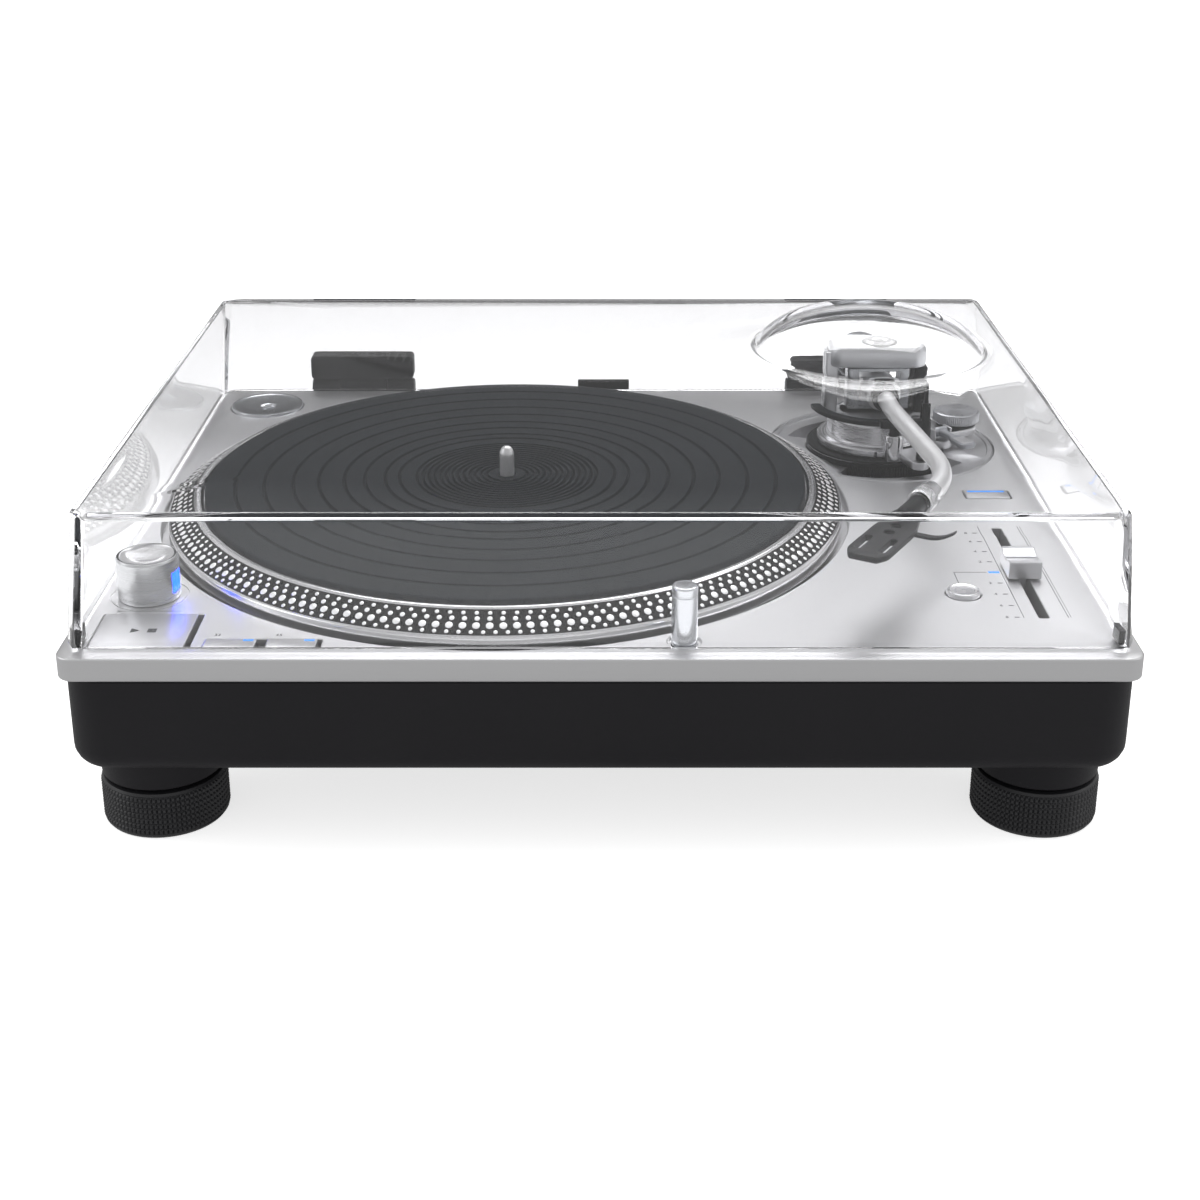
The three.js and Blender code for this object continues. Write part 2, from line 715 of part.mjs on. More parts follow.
function hingeSocket(x) {
  const [axisY, axisZ] = hingeAxis;
  const half = HINGE_WIDTH / 2;
  const body = block([x - half, back + GAP, deckTop - 40], [x + half, back + HINGE_REACH, axisZ - 4.5]);
  const knuckles = [
    pin(knuckleRadius, x - half, x - knuckleHalf, [axisY, axisZ]),
    pin(knuckleRadius, x + knuckleHalf, x + half, [axisY, axisZ]),
  ];
  const webs = [[x - half, x - knuckleHalf], [x + knuckleHalf, x + half]].map(([x0, x1]) =>
    block([x0, axisY - 5, axisZ - 6], [x1, axisY + 5, axisZ]),
  );
  const room = pin(knuckleRadius + 1, x - knuckleHalf, x + knuckleHalf, [axisY, axisZ]);
  const bore = pin(2.3, x - half - 1, x + half + 1, [axisY, axisZ], 12);
  return cut(join(body, ...webs, ...knuckles), room, bore);
}

function hingeArm(x) {
  const [axisY, axisZ] = hingeAxis;
  const half = HINGE_WIDTH / 2;
  const low = deckTop + COVER_LIFT + 6;
  const knuckle = pin(knuckleRadius, x - knuckleHalf + GAP, x + knuckleHalf - GAP, [axisY, axisZ]);
  const shaft = pin(2, x - half + 1, x + half - 1, [axisY, axisZ], 12);
  const neck = block(
    [x - knuckleHalf + GAP, back + GAP, axisZ + 1],
    [x + knuckleHalf - GAP, axisY + 5, low + 2],
  );
  const leafOutline = roundedRectangle(x - half, back + GAP, x + half, axisY + 5, 1.5);
  const leaf = plate(leafOutline, low, deckTop + 21, 0.6, 3);
  return join(knuckle, shaft, neck, leaf);
}

// ---- Tonearm ----
// Its pieces stand about the pivot's own axis, with the deck's top at height 0. The ones that
// follow the arm at rest are turned by REST_ANGLE as well, and run along -Y from the pivot.

const armBase = new THREE.Group();
armBase.position.set(pivotAt[0], pivotAt[1], deckTop);
const armLine = new THREE.Group();
armLine.rotation.z = radians(REST_ANGLE);
armBase.add(armLine);
player.add(armBase);

const ringTop = 3.5;
const flangeTop = 8;
const postTop = 19;
const postRadius = 25;
const flangeRadius = 31;
const sleeveRadius = 28.3;
const dialAt = [46, 14];
const restAt = [17, -45];
const liftAt = [5.2, -32.9];
const leverAt = [33, -10];
const leverDirection = -63;

function armPlate() {
  const whole = cut(armRecess(0), block([-500, -500, deckTop], [500, 500, deckTop + 20]));
  const hollow = disc(ARM_PLATE_RADIUS - 4, 0, deckTop - 3.2, armPlateAt, LARGE);
  const ringHole = disc(HEIGHT_RING_RADIUS + 0.5, 0, deckTop + 5, pivotAt, 48);
  const notches = [[240, 335], [110, 158]].map(([from, to]) =>
    ringSector(HEIGHT_RING_RADIUS - 3, HEIGHT_RING_RADIUS + 12, from, to, deckTop - 20, deckTop + 5, pivotAt),
  );
  const scoopAt = stepFrom(armPlateAt, 48, -32);
  const scoopRadius = 36;
  const ball = new THREE.SphereGeometry(scoopRadius, 36, 24);
  const scoop = solid(ball.translate(...scoopAt, deckTop + scoopRadius - 2));
  return cut(whole, hollow, ringHole, ...notches, scoop);
}

function heightRing() {
  return ring(HEIGHT_RING_RADIUS, sleeveRadius + GAP, -armRecessDepth + GAP, ringTop, [0, 0], 48);
}

// A flat link between two round ends.
function link(from, to, radiusFrom, radiusTo, low, high) {
  const [dx, dy] = [to[0] - from[0], to[1] - from[1]];
  const turn = Math.atan2(dy, dx);
  const lean = Math.acos((radiusFrom - radiusTo) / Math.hypot(dx, dy));
  const outline = new THREE.Shape();
  outline.absarc(from[0], from[1], radiusFrom, turn + lean, turn - lean + 2 * Math.PI);
  outline.absarc(to[0], to[1], radiusTo, turn - lean, turn + lean);
  return plate(outline, low, high, 0, 6);
}

function armPost() {
  const body = turned(
    [
      [0, -armRecessDepth + GAP],
      [sleeveRadius, -armRecessDepth + GAP],
      [sleeveRadius, ringTop + GAP],
      [flangeRadius, ringTop + GAP],
      [flangeRadius, flangeTop - 0.6],
      [flangeRadius - 0.6, flangeTop],
      [postRadius + 1, flangeTop],
      [postRadius, flangeTop + 1],
      [postRadius, postTop],
      [0, postTop],
    ],
    [0, 0], 48,
  );
  const ear = disc(6.3, ringTop + GAP, flangeTop, liftAt, SMALL);
  const liftCylinder = disc(4.8, ringTop + GAP, postTop - 1, liftAt, SMALL);
  const liftBore = disc(3, flangeTop, postTop + 5, liftAt, SMALL);
  const low = ringTop + GAP;
  const dialLink = link([18, 2], dialAt, 14, 11, low, flangeTop);
  const restLink = link([12, -14], restAt, 10, 5, low, flangeTop);
  const leverLink = link([24, 0], leverAt, 8, 7, low, flangeTop);
  const dialSeat = disc(10.5, low, flangeTop + 1.7, dialAt, SMALL);
  const dialPin = disc(2.5, low, flangeTop + 5, dialAt, SMALL);
  const cheeks = [-5.8, 4.3].map((offset) => leverCheek(offset));
  const fixed = [body, ear, liftCylinder, dialLink, restLink, leverLink, dialSeat, dialPin, ...cheeks];
  return cut(join(...fixed), liftBore);
}

const leverHubHeight = flangeTop + 3.6;

// One of the two ears that hold the lever's shaft.
function leverCheek(offset) {
  const ear = block([offset, -2.6, flangeTop - 1], [offset + 1.5, 2.6, leverHubHeight + 2.4]);
  return placed(ear, { degrees: leverDirection + 90, to: [...leverAt, 0] });
}

function cueLever() {
  const hub = pin(2.6, -3.9, 3.9, [0, leverHubHeight], 14);
  const neck = block([-2.2, -12, leverHubHeight - 1.2], [2.2, -1, leverHubHeight + 1.6]);
  const outline = new THREE.Shape();
  outline.moveTo(-3, -10);
  outline.quadraticCurveTo(-6, -17, -4.6, -22.5);
  outline.absarc(0, -22.5, 4.6, Math.PI, Math.PI * 2);
  outline.quadraticCurveTo(6, -17, 3, -10);
  const paddle = plate(outline, leverHubHeight - 1.2, leverHubHeight + 1.4, 0.4, 6);
  return placed(join(hub, neck, paddle), { degrees: leverDirection + 90, to: [...leverAt, 0] });
}

function antiSkateDial() {
  const low = flangeTop + 1.7 + GAP;
  return turned(
    [
      [2.5 + GAP, low],
      [12.5, low],
      [12.5, low + 5.2],
      [11.9, low + 5.8],
      [6, low + 5.2],
      [0, low + 5.0],
      [0, low + 3.6],
      [2.5 + GAP, low + 3.6],
    ],
    dialAt,
  );
}

const platformTop = 25.5;

function liftPlatform() {
  const arc = ringSector(30.6, 36, 186, 283, platformTop - 2.5, platformTop);
  const shaft = disc(2.7, flangeTop + 2, platformTop - 1, liftAt, SMALL);
  return join(arc, shaft);
}

const restHeight = ARM_HEIGHT - TUBE_RADIUS - 0.6;

function armRest() {
  const post = disc(3.4, flangeTop + GAP, ARM_HEIGHT, restAt, SMALL);
  const saddle = block([-6, restAt[1] - 3, restHeight - 4], [restAt[0] + 1, restAt[1] + 3, restHeight]);
  const ears = [restAt[1] - 3.4, restAt[1] + 1.9].map((y) =>
    block([restAt[0] - 2, y, ARM_HEIGHT - 1], [restAt[0] + 2, y + 1.5, ARM_HEIGHT + 4.5]),
  );
  return join(post, saddle, ...ears);
}

const clipHinge = ARM_HEIGHT + 2.6;

function restClip() {
  const [x, y] = restAt;
  const hub = rod(1.8, y - 1.6, y + 1.6, [x, clipHinge], 12);
  const strip = block([x - 0.9, y - 1.6, clipHinge], [x + 0.9, y + 1.6, clipHinge + 12]);
  const hook = block([x - 3.4, y - 1.6, clipHinge + 10.4], [x + 0.9, y + 1.6, clipHinge + 12]);
  return join(hub, strip, hook);
}

const archFoot = [postTop + GAP, postTop + 2.3];
const archTop = [ARM_HEIGHT + 13.3, ARM_HEIGHT + 25];
const uprightLeft = [-29, -22];
const uprightRight = [18.6, 25.5];
const archDepth = 7;

// The fixed frame of the bearing: a foot, the left upright and the housing over it.
function gimbalArch() {
  const [low, high] = archFoot;
  const foot = block([uprightLeft[0], -archDepth, low], [uprightRight[1], archDepth, high]);
  const seat = ring(20, 3.4, low, high, [0, 0]);
  const upright = block([uprightLeft[0], -archDepth, low], [uprightLeft[1], archDepth, archTop[1] - 4]);
  const outline = roundedRectangle(uprightLeft[0] + 2, -archDepth - 4, uprightRight[1] - 1, archDepth + 6, 7);
  const housing = plate(outline, archTop[0], archTop[1], 2.5, 4, 2);
  const cap = disc(8, archTop[1] - 1, archTop[1] + 1.6, [0, 0], SMALL, 6.5);
  const lowerBore = disc(3.3, 0, archFoot[1] + 5, [0, 0], SMALL);
  const upperBore = disc(3.3, archTop[0] - 5, archTop[0] + 6, [0, 0], SMALL);
  return cut(join(foot, seat, upright, housing, cap), lowerBore, upperBore);
}

function bearingBlock() {
  const [x0, x1] = uprightRight;
  const outline = roundedRectangle(x0, -archDepth - 1, x1, archDepth + 1, 2.5);
  return plate(outline, archFoot[1] + GAP, archTop[0] - GAP, 0, 4);
}

const housingRadius = 9;
const ringHalf = [17, 12.2];
const ringThick = 6;

function gimbalRing() {
  const [halfX, halfZ] = ringHalf;
  const frame = block([-halfX, -ringThick, ARM_HEIGHT - halfZ], [halfX, ringThick, ARM_HEIGHT + halfZ]);
  const room = block([-11, -ringThick - 1, ARM_HEIGHT - 10.2], [11, ringThick + 1, ARM_HEIGHT + 10.2]);
  const topStub = disc(3, ARM_HEIGHT + halfZ - 1, archTop[0] + 5, [0, 0], SMALL);
  const lowStub = disc(3, postTop + GAP, ARM_HEIGHT - halfZ + 1, [0, 0], SMALL);
  const pivots = pin(2.1, -halfX - 1, halfX + 1, [0, ARM_HEIGHT]);
  return cut(join(cut(frame, room), topStub, lowStub), pivots);
}

const collarReach = [20.3, 27];
const shaftEnd = 72;
const weightSpan = [40.3, 64];
const weightDialSpan = [32, 40];
const shaftRadius = 4;

function tonearmHousing() {
  const body = rod(housingRadius, -collarReach[0] + GAP, 18, [0, ARM_HEIGHT], ROUND);
  const shaft = rod(shaftRadius, 17, shaftEnd, [0, ARM_HEIGHT]);
  const pivots = pin(1.8, -ringHalf[0] + 2, ringHalf[0] - 2, [0, ARM_HEIGHT]);
  return join(body, shaft, pivots);
}

function tubeCollar() {
  return rod(7, -collarReach[1], -collarReach[0], [0, ARM_HEIGHT], ROUND);
}

// The tube leaves the collar straight, leans out past its first bend and turns in at the elbow,
// from where the headshell's line runs to the needle.
const needleAt = stepFrom([0, 0], EFFECTIVE_LENGTH, -90 - AIM_ANGLE);
const headDirection = -90 - AIM_ANGLE - OFFSET_ANGLE;
const elbowToNeedle = 93;
const elbowAt = stepFrom(needleAt, -elbowToNeedle, headDirection);
const firstBend = [0, -45];
const tubeEndFromElbow = 29;
const collarSpan = [tubeEndFromElbow + GAP, tubeEndFromElbow + 12];
const headshellRear = 45.5;
const headshellTip = elbowToNeedle + 13;

function tubePath() {
  const bendIn = new THREE.Vector2(...elbowAt).sub(new THREE.Vector2(...firstBend)).setLength(TUBE_BEND);
  const start = new THREE.Vector3(0, -collarReach[1] - GAP, 0);
  const first = new THREE.Vector3(...firstBend, 0);
  const elbow = new THREE.Vector3(...elbowAt, 0);
  const beforeElbow = new THREE.Vector3(elbowAt[0] - bendIn.x, elbowAt[1] - bendIn.y, 0);
  const afterElbow = new THREE.Vector3(...stepFrom(elbowAt, TUBE_BEND * 0.85, headDirection), 0);
  const end = new THREE.Vector3(...stepFrom(elbowAt, tubeEndFromElbow, headDirection), 0);
  const path = new THREE.CurvePath();
  const nearFirst = new THREE.Vector3().lerpVectors(first, start, 0.6);
  const pastFirst = new THREE.Vector3().lerpVectors(first, beforeElbow, 0.16);
  path.add(new THREE.LineCurve3(start, nearFirst));
  path.add(new THREE.QuadraticBezierCurve3(nearFirst, first, pastFirst));
  path.add(new THREE.LineCurve3(pastFirst, beforeElbow));
  path.add(new THREE.QuadraticBezierCurve3(beforeElbow, elbow, afterElbow));
  path.add(new THREE.LineCurve3(afterElbow, end));
  return path;
}

function tonearmTube() {
  const section = new THREE.Shape().absarc(0, 0, TUBE_RADIUS, 0, Math.PI * 2);
  section.holes.push(new THREE.Path().absarc(0, 0, TUBE_RADIUS - TUBE_WALL, 0, Math.PI * 2));
  const swept = new THREE.ExtrudeGeometry(section, {
    steps: 26,
    bevelEnabled: false,
    curveSegments: 6,
    extrudePath: tubePath(),
  });
  return solid(swept.translate(0, 0, ARM_HEIGHT));
}

// Turns a piece made along -Y from the elbow onto the headshell's line.
function onHeadLine(made) {
  return placed(made, { degrees: headDirection + 90, to: [elbowAt[0], elbowAt[1], 0] });
}

function lockingCollar() {
  return onHeadLine(rod(6.2, -collarSpan[1], -collarSpan[0], [0, ARM_HEIGHT], 32));
}

const headshellLow = ARM_HEIGHT - 2;
const headshellHigh = ARM_HEIGHT + 1;
const fingerRoot = headshellRear + 19;

function headshell() {
  const half = HEADSHELL_WIDTH / 2;
  const outline = new THREE.Shape();
  const rear = -headshellTip + HEADSHELL_LENGTH;
  outline.moveTo(-6, rear + 5);
  outline.lineTo(-half, rear - 10);
  outline.lineTo(-half, -headshellTip + 2);
  outline.quadraticCurveTo(-half, -headshellTip, -half + 2, -headshellTip);
  outline.lineTo(half - 2, -headshellTip);
  outline.quadraticCurveTo(half, -headshellTip, half, -headshellTip + 2);
  outline.lineTo(half, rear - 10);
  outline.lineTo(6, rear + 5);
  const body = plate(outline, headshellLow, headshellHigh, 0.4, 4);
  const boss = rod(4.4, rear - 3, -collarSpan[1] - GAP, [0, ARM_HEIGHT]);
  const slots = [-6.35, 6.35].map((x) => {
    const slot = roundedRectangle(x - 1.3, -headshellTip + 6, x + 1.3, -headshellTip + 24, 1.29);
    return plate(slot, headshellLow - 5, headshellHigh + 5, 0, 4);
  });
  const screwHoles = [8, 15].map((y) => disc(2.2, headshellLow - 5, headshellHigh + 5, [0, rear - y], 12));
  return onHeadLine(cut(join(body, boss), ...slots, ...screwHoles));
}

// A bent strip that stands out from the headshell's right edge and curls up at its end.
function fingerLift() {
  const profile = new THREE.Shape();
  const half = HEADSHELL_WIDTH / 2 + GAP;
  profile.moveTo(half, 0);
  profile.lineTo(half + 7, 0);
  profile.quadraticCurveTo(half + 13, 0, half + 17, 3.4);
  profile.lineTo(half + 16.2, 4.6);
  profile.quadraticCurveTo(half + 12.5, 1.4, half + 7, 1.4);
  profile.lineTo(half, 1.4);
  const strip = plate(profile, 0, 4.2, 0, 6);
  const upright = placed(strip, { axis: [1, 0, 0], degrees: 90, to: [0, -fingerRoot, ARM_HEIGHT - 1.2] });
  return onHeadLine(upright);
}

function weightDial() {
  const body = rod(COUNTERWEIGHT_RADIUS - 1.5, weightDialSpan[0], weightDialSpan[1], [0, ARM_HEIGHT], ROUND);
  return cut(body, rod(shaftRadius + GAP, 0, shaftEnd + 10, [0, ARM_HEIGHT], 24));
}

function counterweight() {
  const [y0, y1] = weightSpan;
  const lip = rod(COUNTERWEIGHT_RADIUS, y0, y1 - 2, [0, ARM_HEIGHT], ROUND);
  const end = rod(COUNTERWEIGHT_RADIUS, y1 - 2.5, y1, [0, ARM_HEIGHT], ROUND, COUNTERWEIGHT_RADIUS - 2);
  return cut(join(lip, end), rod(shaftRadius + GAP, 0, shaftEnd + 10, [0, ARM_HEIGHT], 24));
}

// ---- Feet ----

function footStud([, x, y]) {
  const thread = disc(STUD_RADIUS, 6, studTop, [x, y], SMALL);
  const head = disc(10, 4, 8, [x, y], SMALL);
  return join(thread, head);
}

function footRing([, x, y]) {
  return turned(
    [
      [0, 0],
      [FOOT_RADIUS - 1.5, 0],
      [FOOT_RADIUS, 1.5],
      [FOOT_RADIUS, FOOT_HEIGHT - 1],
      [FOOT_RADIUS - 1, FOOT_HEIGHT],
      [STUD_RADIUS + GAP, FOOT_HEIGHT],
      [STUD_RADIUS + GAP, 8 + GAP],
      [10 + GAP, 8 + GAP],
      [10 + GAP, 4 - GAP],
      [0, 4 - GAP],
    ],
    [x, y],
  );
}

// ---- Assembly ----

add("base_shell", baseShell(), blackMoulding);
add("deck_panel", deckPanel(), brushedDeck);
add("motor_stator", motorStator(), copperWinding);
add("spindle_bearing", spindleBearing(), brassPlating);
add("power_supply", powerSupply(), greenBoard);
add("control_board", controlBoard(), greenBoard);
add("terminal_panel", terminalPanel(), blackMoulding);
add("phono_jack_left", phonoJack(jackXs[0]), brassPlating);
add("phono_jack_right", phonoJack(jackXs[1]), brassPlating);
add("ground_post", groundPost(), brassPlating);
add("ac_inlet", acInlet(), blackMoulding);
add("pitch_fader_unit", pitchFaderUnit(), blackMoulding);
add("strobe_tower", strobeTower(), spunAluminium);
add("strobe_lens", lensBlock(0), blueLamp);
add("arm_plate", armPlate(), brushedDeck);

add("platter", platter(), polishedAluminium);
add("platter_mat", platterMat(), slateRubber);
add("rotor_magnet", rotorMagnet(), blackMetal);
add("spindle", spindle(), polishedAluminium);
add("adapter_45", adapter45(), spunAluminium);

add("start_stop_button", boxButton(startButtonBox), brushedDeck);
add("speed_button_33", boxButton(speedButtonBoxes[0]), brushedDeck);
add("speed_button_45", boxButton(speedButtonBoxes[1]), brushedDeck);
add("range_button", boxButton(rangeButtonBox), brushedDeck);
add("reset_button", resetButton(), spunAluminium);
add("power_dial", powerDial(), spunAluminium);
add("cue_light", cueLight(), polishedAluminium);
add("pitch_fader", pitchFader(), polishedAluminium);

add("dust_cover", dustCover(), clearAcrylic);
for (const [side, x] of [["left", -HINGE_SPACING / 2], ["right", HINGE_SPACING / 2]]) {
  add("hinge_socket_" + side, hingeSocket(x), blackMoulding);
  add("hinge_arm_" + side, hingeArm(x), blackMoulding);
}

add("height_ring", heightRing(), blackMetal, armBase);
add("arm_post", armPost(), castMetal, armBase);
add("gimbal_arch", gimbalArch(), castMetal, armBase);
add("bearing_block", bearingBlock(), blackMetal, armBase);
add("lift_platform", liftPlatform(), blackRubber, armBase);
add("cue_lever", cueLever(), castMetal, armBase);
add("anti_skate_dial", antiSkateDial(), spunAluminium, armBase);
add("arm_rest", armRest(), blackMoulding, armLine);
add("rest_clip", restClip(), blackMoulding, armLine);
add("gimbal_ring", gimbalRing(), castMetal, armLine);
add("tonearm_housing", tonearmHousing(), polishedAluminium, armLine);
add("tube_collar", tubeCollar(), blackMetal, armLine);
add("tonearm_tube", tonearmTube(), spunAluminium, armLine);
add("locking_collar", lockingCollar(), polishedAluminium, armLine);
add("headshell", headshell(), blackMetal, armLine);
add("finger_lift", fingerLift(), blackMetal, armLine);
add("weight_dial", weightDial(), blackMetal, armLine);
add("counterweight", counterweight(), spunAluminium, armLine);

for (const corner of footCorners) {
  add("foot_stud_" + corner[0], footStud(corner), castMetal);
  add("foot_" + corner[0], footRing(corner), blackRubber);
}

export default player;
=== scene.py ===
"""Looks of a direct-drive record player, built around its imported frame.

Every length is in millimetres in the frame's own axes: X to the right, Y to the hinges, Z up.
Surfaces are worked out as whole numpy arrays and scaled to metres when they become meshes.
"""

import json
import logging
import math
from dataclasses import dataclass
from enum import Enum
from typing import Sequence

import bmesh
import bpy
import numpy as np
from mathutils import Matrix, Vector


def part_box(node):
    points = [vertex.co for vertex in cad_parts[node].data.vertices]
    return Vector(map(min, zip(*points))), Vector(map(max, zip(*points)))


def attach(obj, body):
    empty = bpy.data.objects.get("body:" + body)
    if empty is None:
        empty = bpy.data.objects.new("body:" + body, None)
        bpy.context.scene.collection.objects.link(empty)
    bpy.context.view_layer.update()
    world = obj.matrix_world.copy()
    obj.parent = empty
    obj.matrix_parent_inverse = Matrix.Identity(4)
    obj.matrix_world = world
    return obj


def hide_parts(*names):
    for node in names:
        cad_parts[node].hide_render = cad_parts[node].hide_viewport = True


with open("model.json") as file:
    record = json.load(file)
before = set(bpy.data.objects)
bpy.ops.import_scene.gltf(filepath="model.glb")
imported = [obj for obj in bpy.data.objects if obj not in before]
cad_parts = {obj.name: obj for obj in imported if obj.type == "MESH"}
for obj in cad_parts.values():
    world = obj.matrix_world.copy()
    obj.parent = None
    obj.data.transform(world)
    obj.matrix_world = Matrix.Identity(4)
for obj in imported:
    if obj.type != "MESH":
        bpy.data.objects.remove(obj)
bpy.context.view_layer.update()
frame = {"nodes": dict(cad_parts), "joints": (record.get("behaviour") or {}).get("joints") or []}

MM = 0.001
# Points closer than this are one, in metres.
MERGE = 2e-7
LOG = logging.getLogger("record_player")
JOINTS = {joint["name"]: joint for joint in frame["joints"]}
FULL = 2 * math.pi


# ---------------------------------------------------------------- places from the frame


def span(node: str) -> tuple[np.ndarray, np.ndarray]:
    """Lowest and highest corner of a frame node, in millimetres."""
    low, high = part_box(node)
    return np.array(low) / MM, np.array(high) / MM


def middle(node: str) -> np.ndarray:
    """Middle of a frame node's box, in millimetres."""
    low, high = span(node)
    return (low + high) / 2


def joint_place(name: str) -> np.ndarray:
    """A joint's own point, in millimetres."""
    return np.array(JOINTS[name]["pos_m"]) / MM


def joint_axis(name: str) -> np.ndarray:
    """A joint's unit axis."""
    axis = np.array(JOINTS[name]["axis"], float)
    return axis / np.linalg.norm(axis)


DECK_LOW, DECK_TOP = (corner[2] for corner in span("deck_panel"))
SPINDLE = middle("platter")[:2]
PIVOT = joint_place("arm_swing")
FEET = ("foot_front_left", "foot_front_right", "foot_back_left", "foot_back_right")
ARM_PLATE_RADIUS = 60.0
CUE_RADIUS = (span("cue_light")[1][0] - span("cue_light")[0][0]) / 2
PLATTER_RADIUS = span("platter")[1][0] - SPINDLE[0]
WELL_RADIUS = PLATTER_RADIUS + 3.5
# A cutter that reaches from under the player to above it.
FAR = 200.0


def over_deck(z: float) -> float:
    """A height above the deck's face as a height in the frame."""
    return DECK_TOP + z


def raised(profile: Sequence) -> list:
    """A profile whose heights are given above the deck's face, put in the frame."""
    return [(row[0], over_deck(row[1])) for row in profile]


def from_pivot(outline: np.ndarray) -> np.ndarray:
    """An outline drawn about the arm's pivot, put in the frame."""
    return outline + PIVOT[:2]


# ---------------------------------------------------------------- surfaces


@dataclass
class Surface:
    """Points in millimetres and the faces that join them."""

    points: np.ndarray
    faces: list

    def moved(self, to: Sequence[float]) -> "Surface":
        """The same surface carried along a vector."""
        return Surface(self.points + np.asarray(to, float), self.faces)

    def turned(self, degrees: float, about: Sequence[float] = (0, 0)) -> "Surface":
        """The same surface turned about a vertical line.

        Args:
            degrees: anticlockwise turn seen from above.
            about: X and Y of the line.

        Returns:
            The turned surface.
        """
        turn = np.array(Matrix.Rotation(math.radians(degrees), 3, "Z"))
        centre = np.array([about[0], about[1], 0.0])
        return Surface((self.points - centre) @ turn.T + centre, self.faces)

    def aimed(self, start: Sequence[float], direction: Sequence[float]) -> "Surface":
        """The same surface with its Z axis laid along a direction.

        Args:
            start: where the surface's origin goes.
            direction: where its Z axis points.

        Returns:
            The aimed surface.
        """
        turn = np.array(Vector(direction).to_track_quat("Z", "Y").to_matrix())
        return Surface(self.points @ turn.T + np.asarray(start, float), self.faces)


def skin(rows: np.ndarray, ring: bool = False) -> Surface:
    """Joins each row of points to the next with quads, around a closed turn.

    Args:
        rows: array of rows, points around each row, and X Y Z.
        ring: True where the last row joins the first; otherwise both ends get a face.

    Returns:
        The closed surface.
    """
    count, around = rows.shape[:2]
    index = np.arange(count * around).reshape(count, around)
    near = index if ring else index[:-1]
    far = np.roll(index, -1, axis=0) if ring else index[1:]
    quads = np.stack([near, np.roll(near, -1, 1), np.roll(far, -1, 1), far], -1)
    faces = quads.reshape(-1, 4).tolist()
    if not ring:
        faces += [index[0][::-1].tolist(), index[-1].tolist()]
    return Surface(rows.reshape(-1, 3), faces)


def eased(corners: Sequence, reach: float | Sequence[float], closed: bool = False,
          steps: int = 5) -> np.ndarray:
    """Rounds the corners of a polyline with circular arcs.

    Each arc is the rational curve ((1-t)^2 a + 2wt(1-t) p + t^2 b) over the same sum of weights,
    with p the corner, a and b the points at the arc's ends, and w the sine of half the corner.

    Args:
        corners: the polyline's points.
        reach: how far the arc starts from each corner, one length or one for each corner.
        closed: True where the last point joins the first.
        steps: points along each arc.

    Returns:
        The rounded line's points.
    """
    p = np.asarray(corners, float)
    to_before, to_after = np.roll(p, 1, 0) - p, np.roll(p, -1, 0) - p
    before = np.linalg.norm(to_before, axis=1)
    after = np.linalg.norm(to_after, axis=1)
    cut = np.minimum(np.broadcast_to(reach, len(p)), 0.48 * np.minimum(before, after))
    if not closed:
        cut[[0, -1]] = 0
    unit_before = to_before / before[:, None]
    unit_after = to_after / after[:, None]
    a, b = p + unit_before * cut[:, None], p + unit_after * cut[:, None]
    weight = np.sqrt(np.clip(1 - (unit_before * unit_after).sum(1), 0, 2) / 2)
    t = np.linspace(0, 1, steps)[None, :, None]
    mid = 2 * weight[:, None, None] * t * (1 - t)
    top = (1 - t) ** 2 * a[:, None] + mid * p[:, None] + t**2 * b[:, None]
    line = (top / ((1 - t) ** 2 + mid + t**2)).reshape(-1, p.shape[1])
    gap = np.linalg.norm(line - np.roll(line, 1, 0), axis=1)
    keep = gap > 1e-6
    if not closed:
        keep[0] = True
    return line[keep]


def revolve(profile: Sequence, at: Sequence[float] = (0, 0), steps: int = 96, ring: bool = False) -> Surface:
    """A profile of radius and height turned about a vertical line.

    A point is x = cx + r cos t, y = cy + r sin t, z = z, with t from 0 to a full turn.

    Args:
        profile: rows of radius and height.
        at: the line's X and Y.
        steps: points around the turn.
        ring: True where the profile closes on itself.

    Returns:
        The turned surface.
    """
    r, z = np.asarray(profile, float).T
    t = np.linspace(0, FULL, steps, endpoint=False)
    x = at[0] + r[:, None] * np.cos(t)
    y = at[1] + r[:, None] * np.sin(t)
    return skin(np.stack([x, y, np.repeat(z[:, None], steps, 1)], -1), ring)


def fluted(profile: Sequence, depth: Sequence, teeth: int, at: Sequence[float] = (0, 0), sharp: float = 1.0,
           per_tooth: int = 6, drop: Sequence[float] | float = 0.0, ring: bool = False) -> Surface:
    """A turned profile with ribs cut in it.

    The radius is r - d w and the height z - e w, with w = 1 - |cos(nt/2)|^s, d and e the row's own
    depth and drop, and n the count of ribs.

    Args:
        profile: rows of radius and height.
        depth: depth of the grooves at each row.
        teeth: count of ribs round the turn.
        at: the axis' X and Y.
        sharp: power that narrows the ribs.
        per_tooth: points across one rib.
        drop: how far the grooves sink at each row.
        ring: True where the profile closes on itself.

    Returns:
        The ribbed surface.
    """
    r, z = np.asarray(profile, float).T
    t = np.linspace(0, FULL, teeth * per_tooth, endpoint=False)
    wave = 1 - np.abs(np.cos(teeth * t / 2)) ** sharp
    radius = r[:, None] - np.broadcast_to(depth, r.shape)[:, None] * wave
    height = z[:, None] - np.broadcast_to(drop, r.shape)[:, None] * wave
    return skin(np.stack([at[0] + radius * np.cos(t), at[1] + radius * np.sin(t), height], -1), ring)


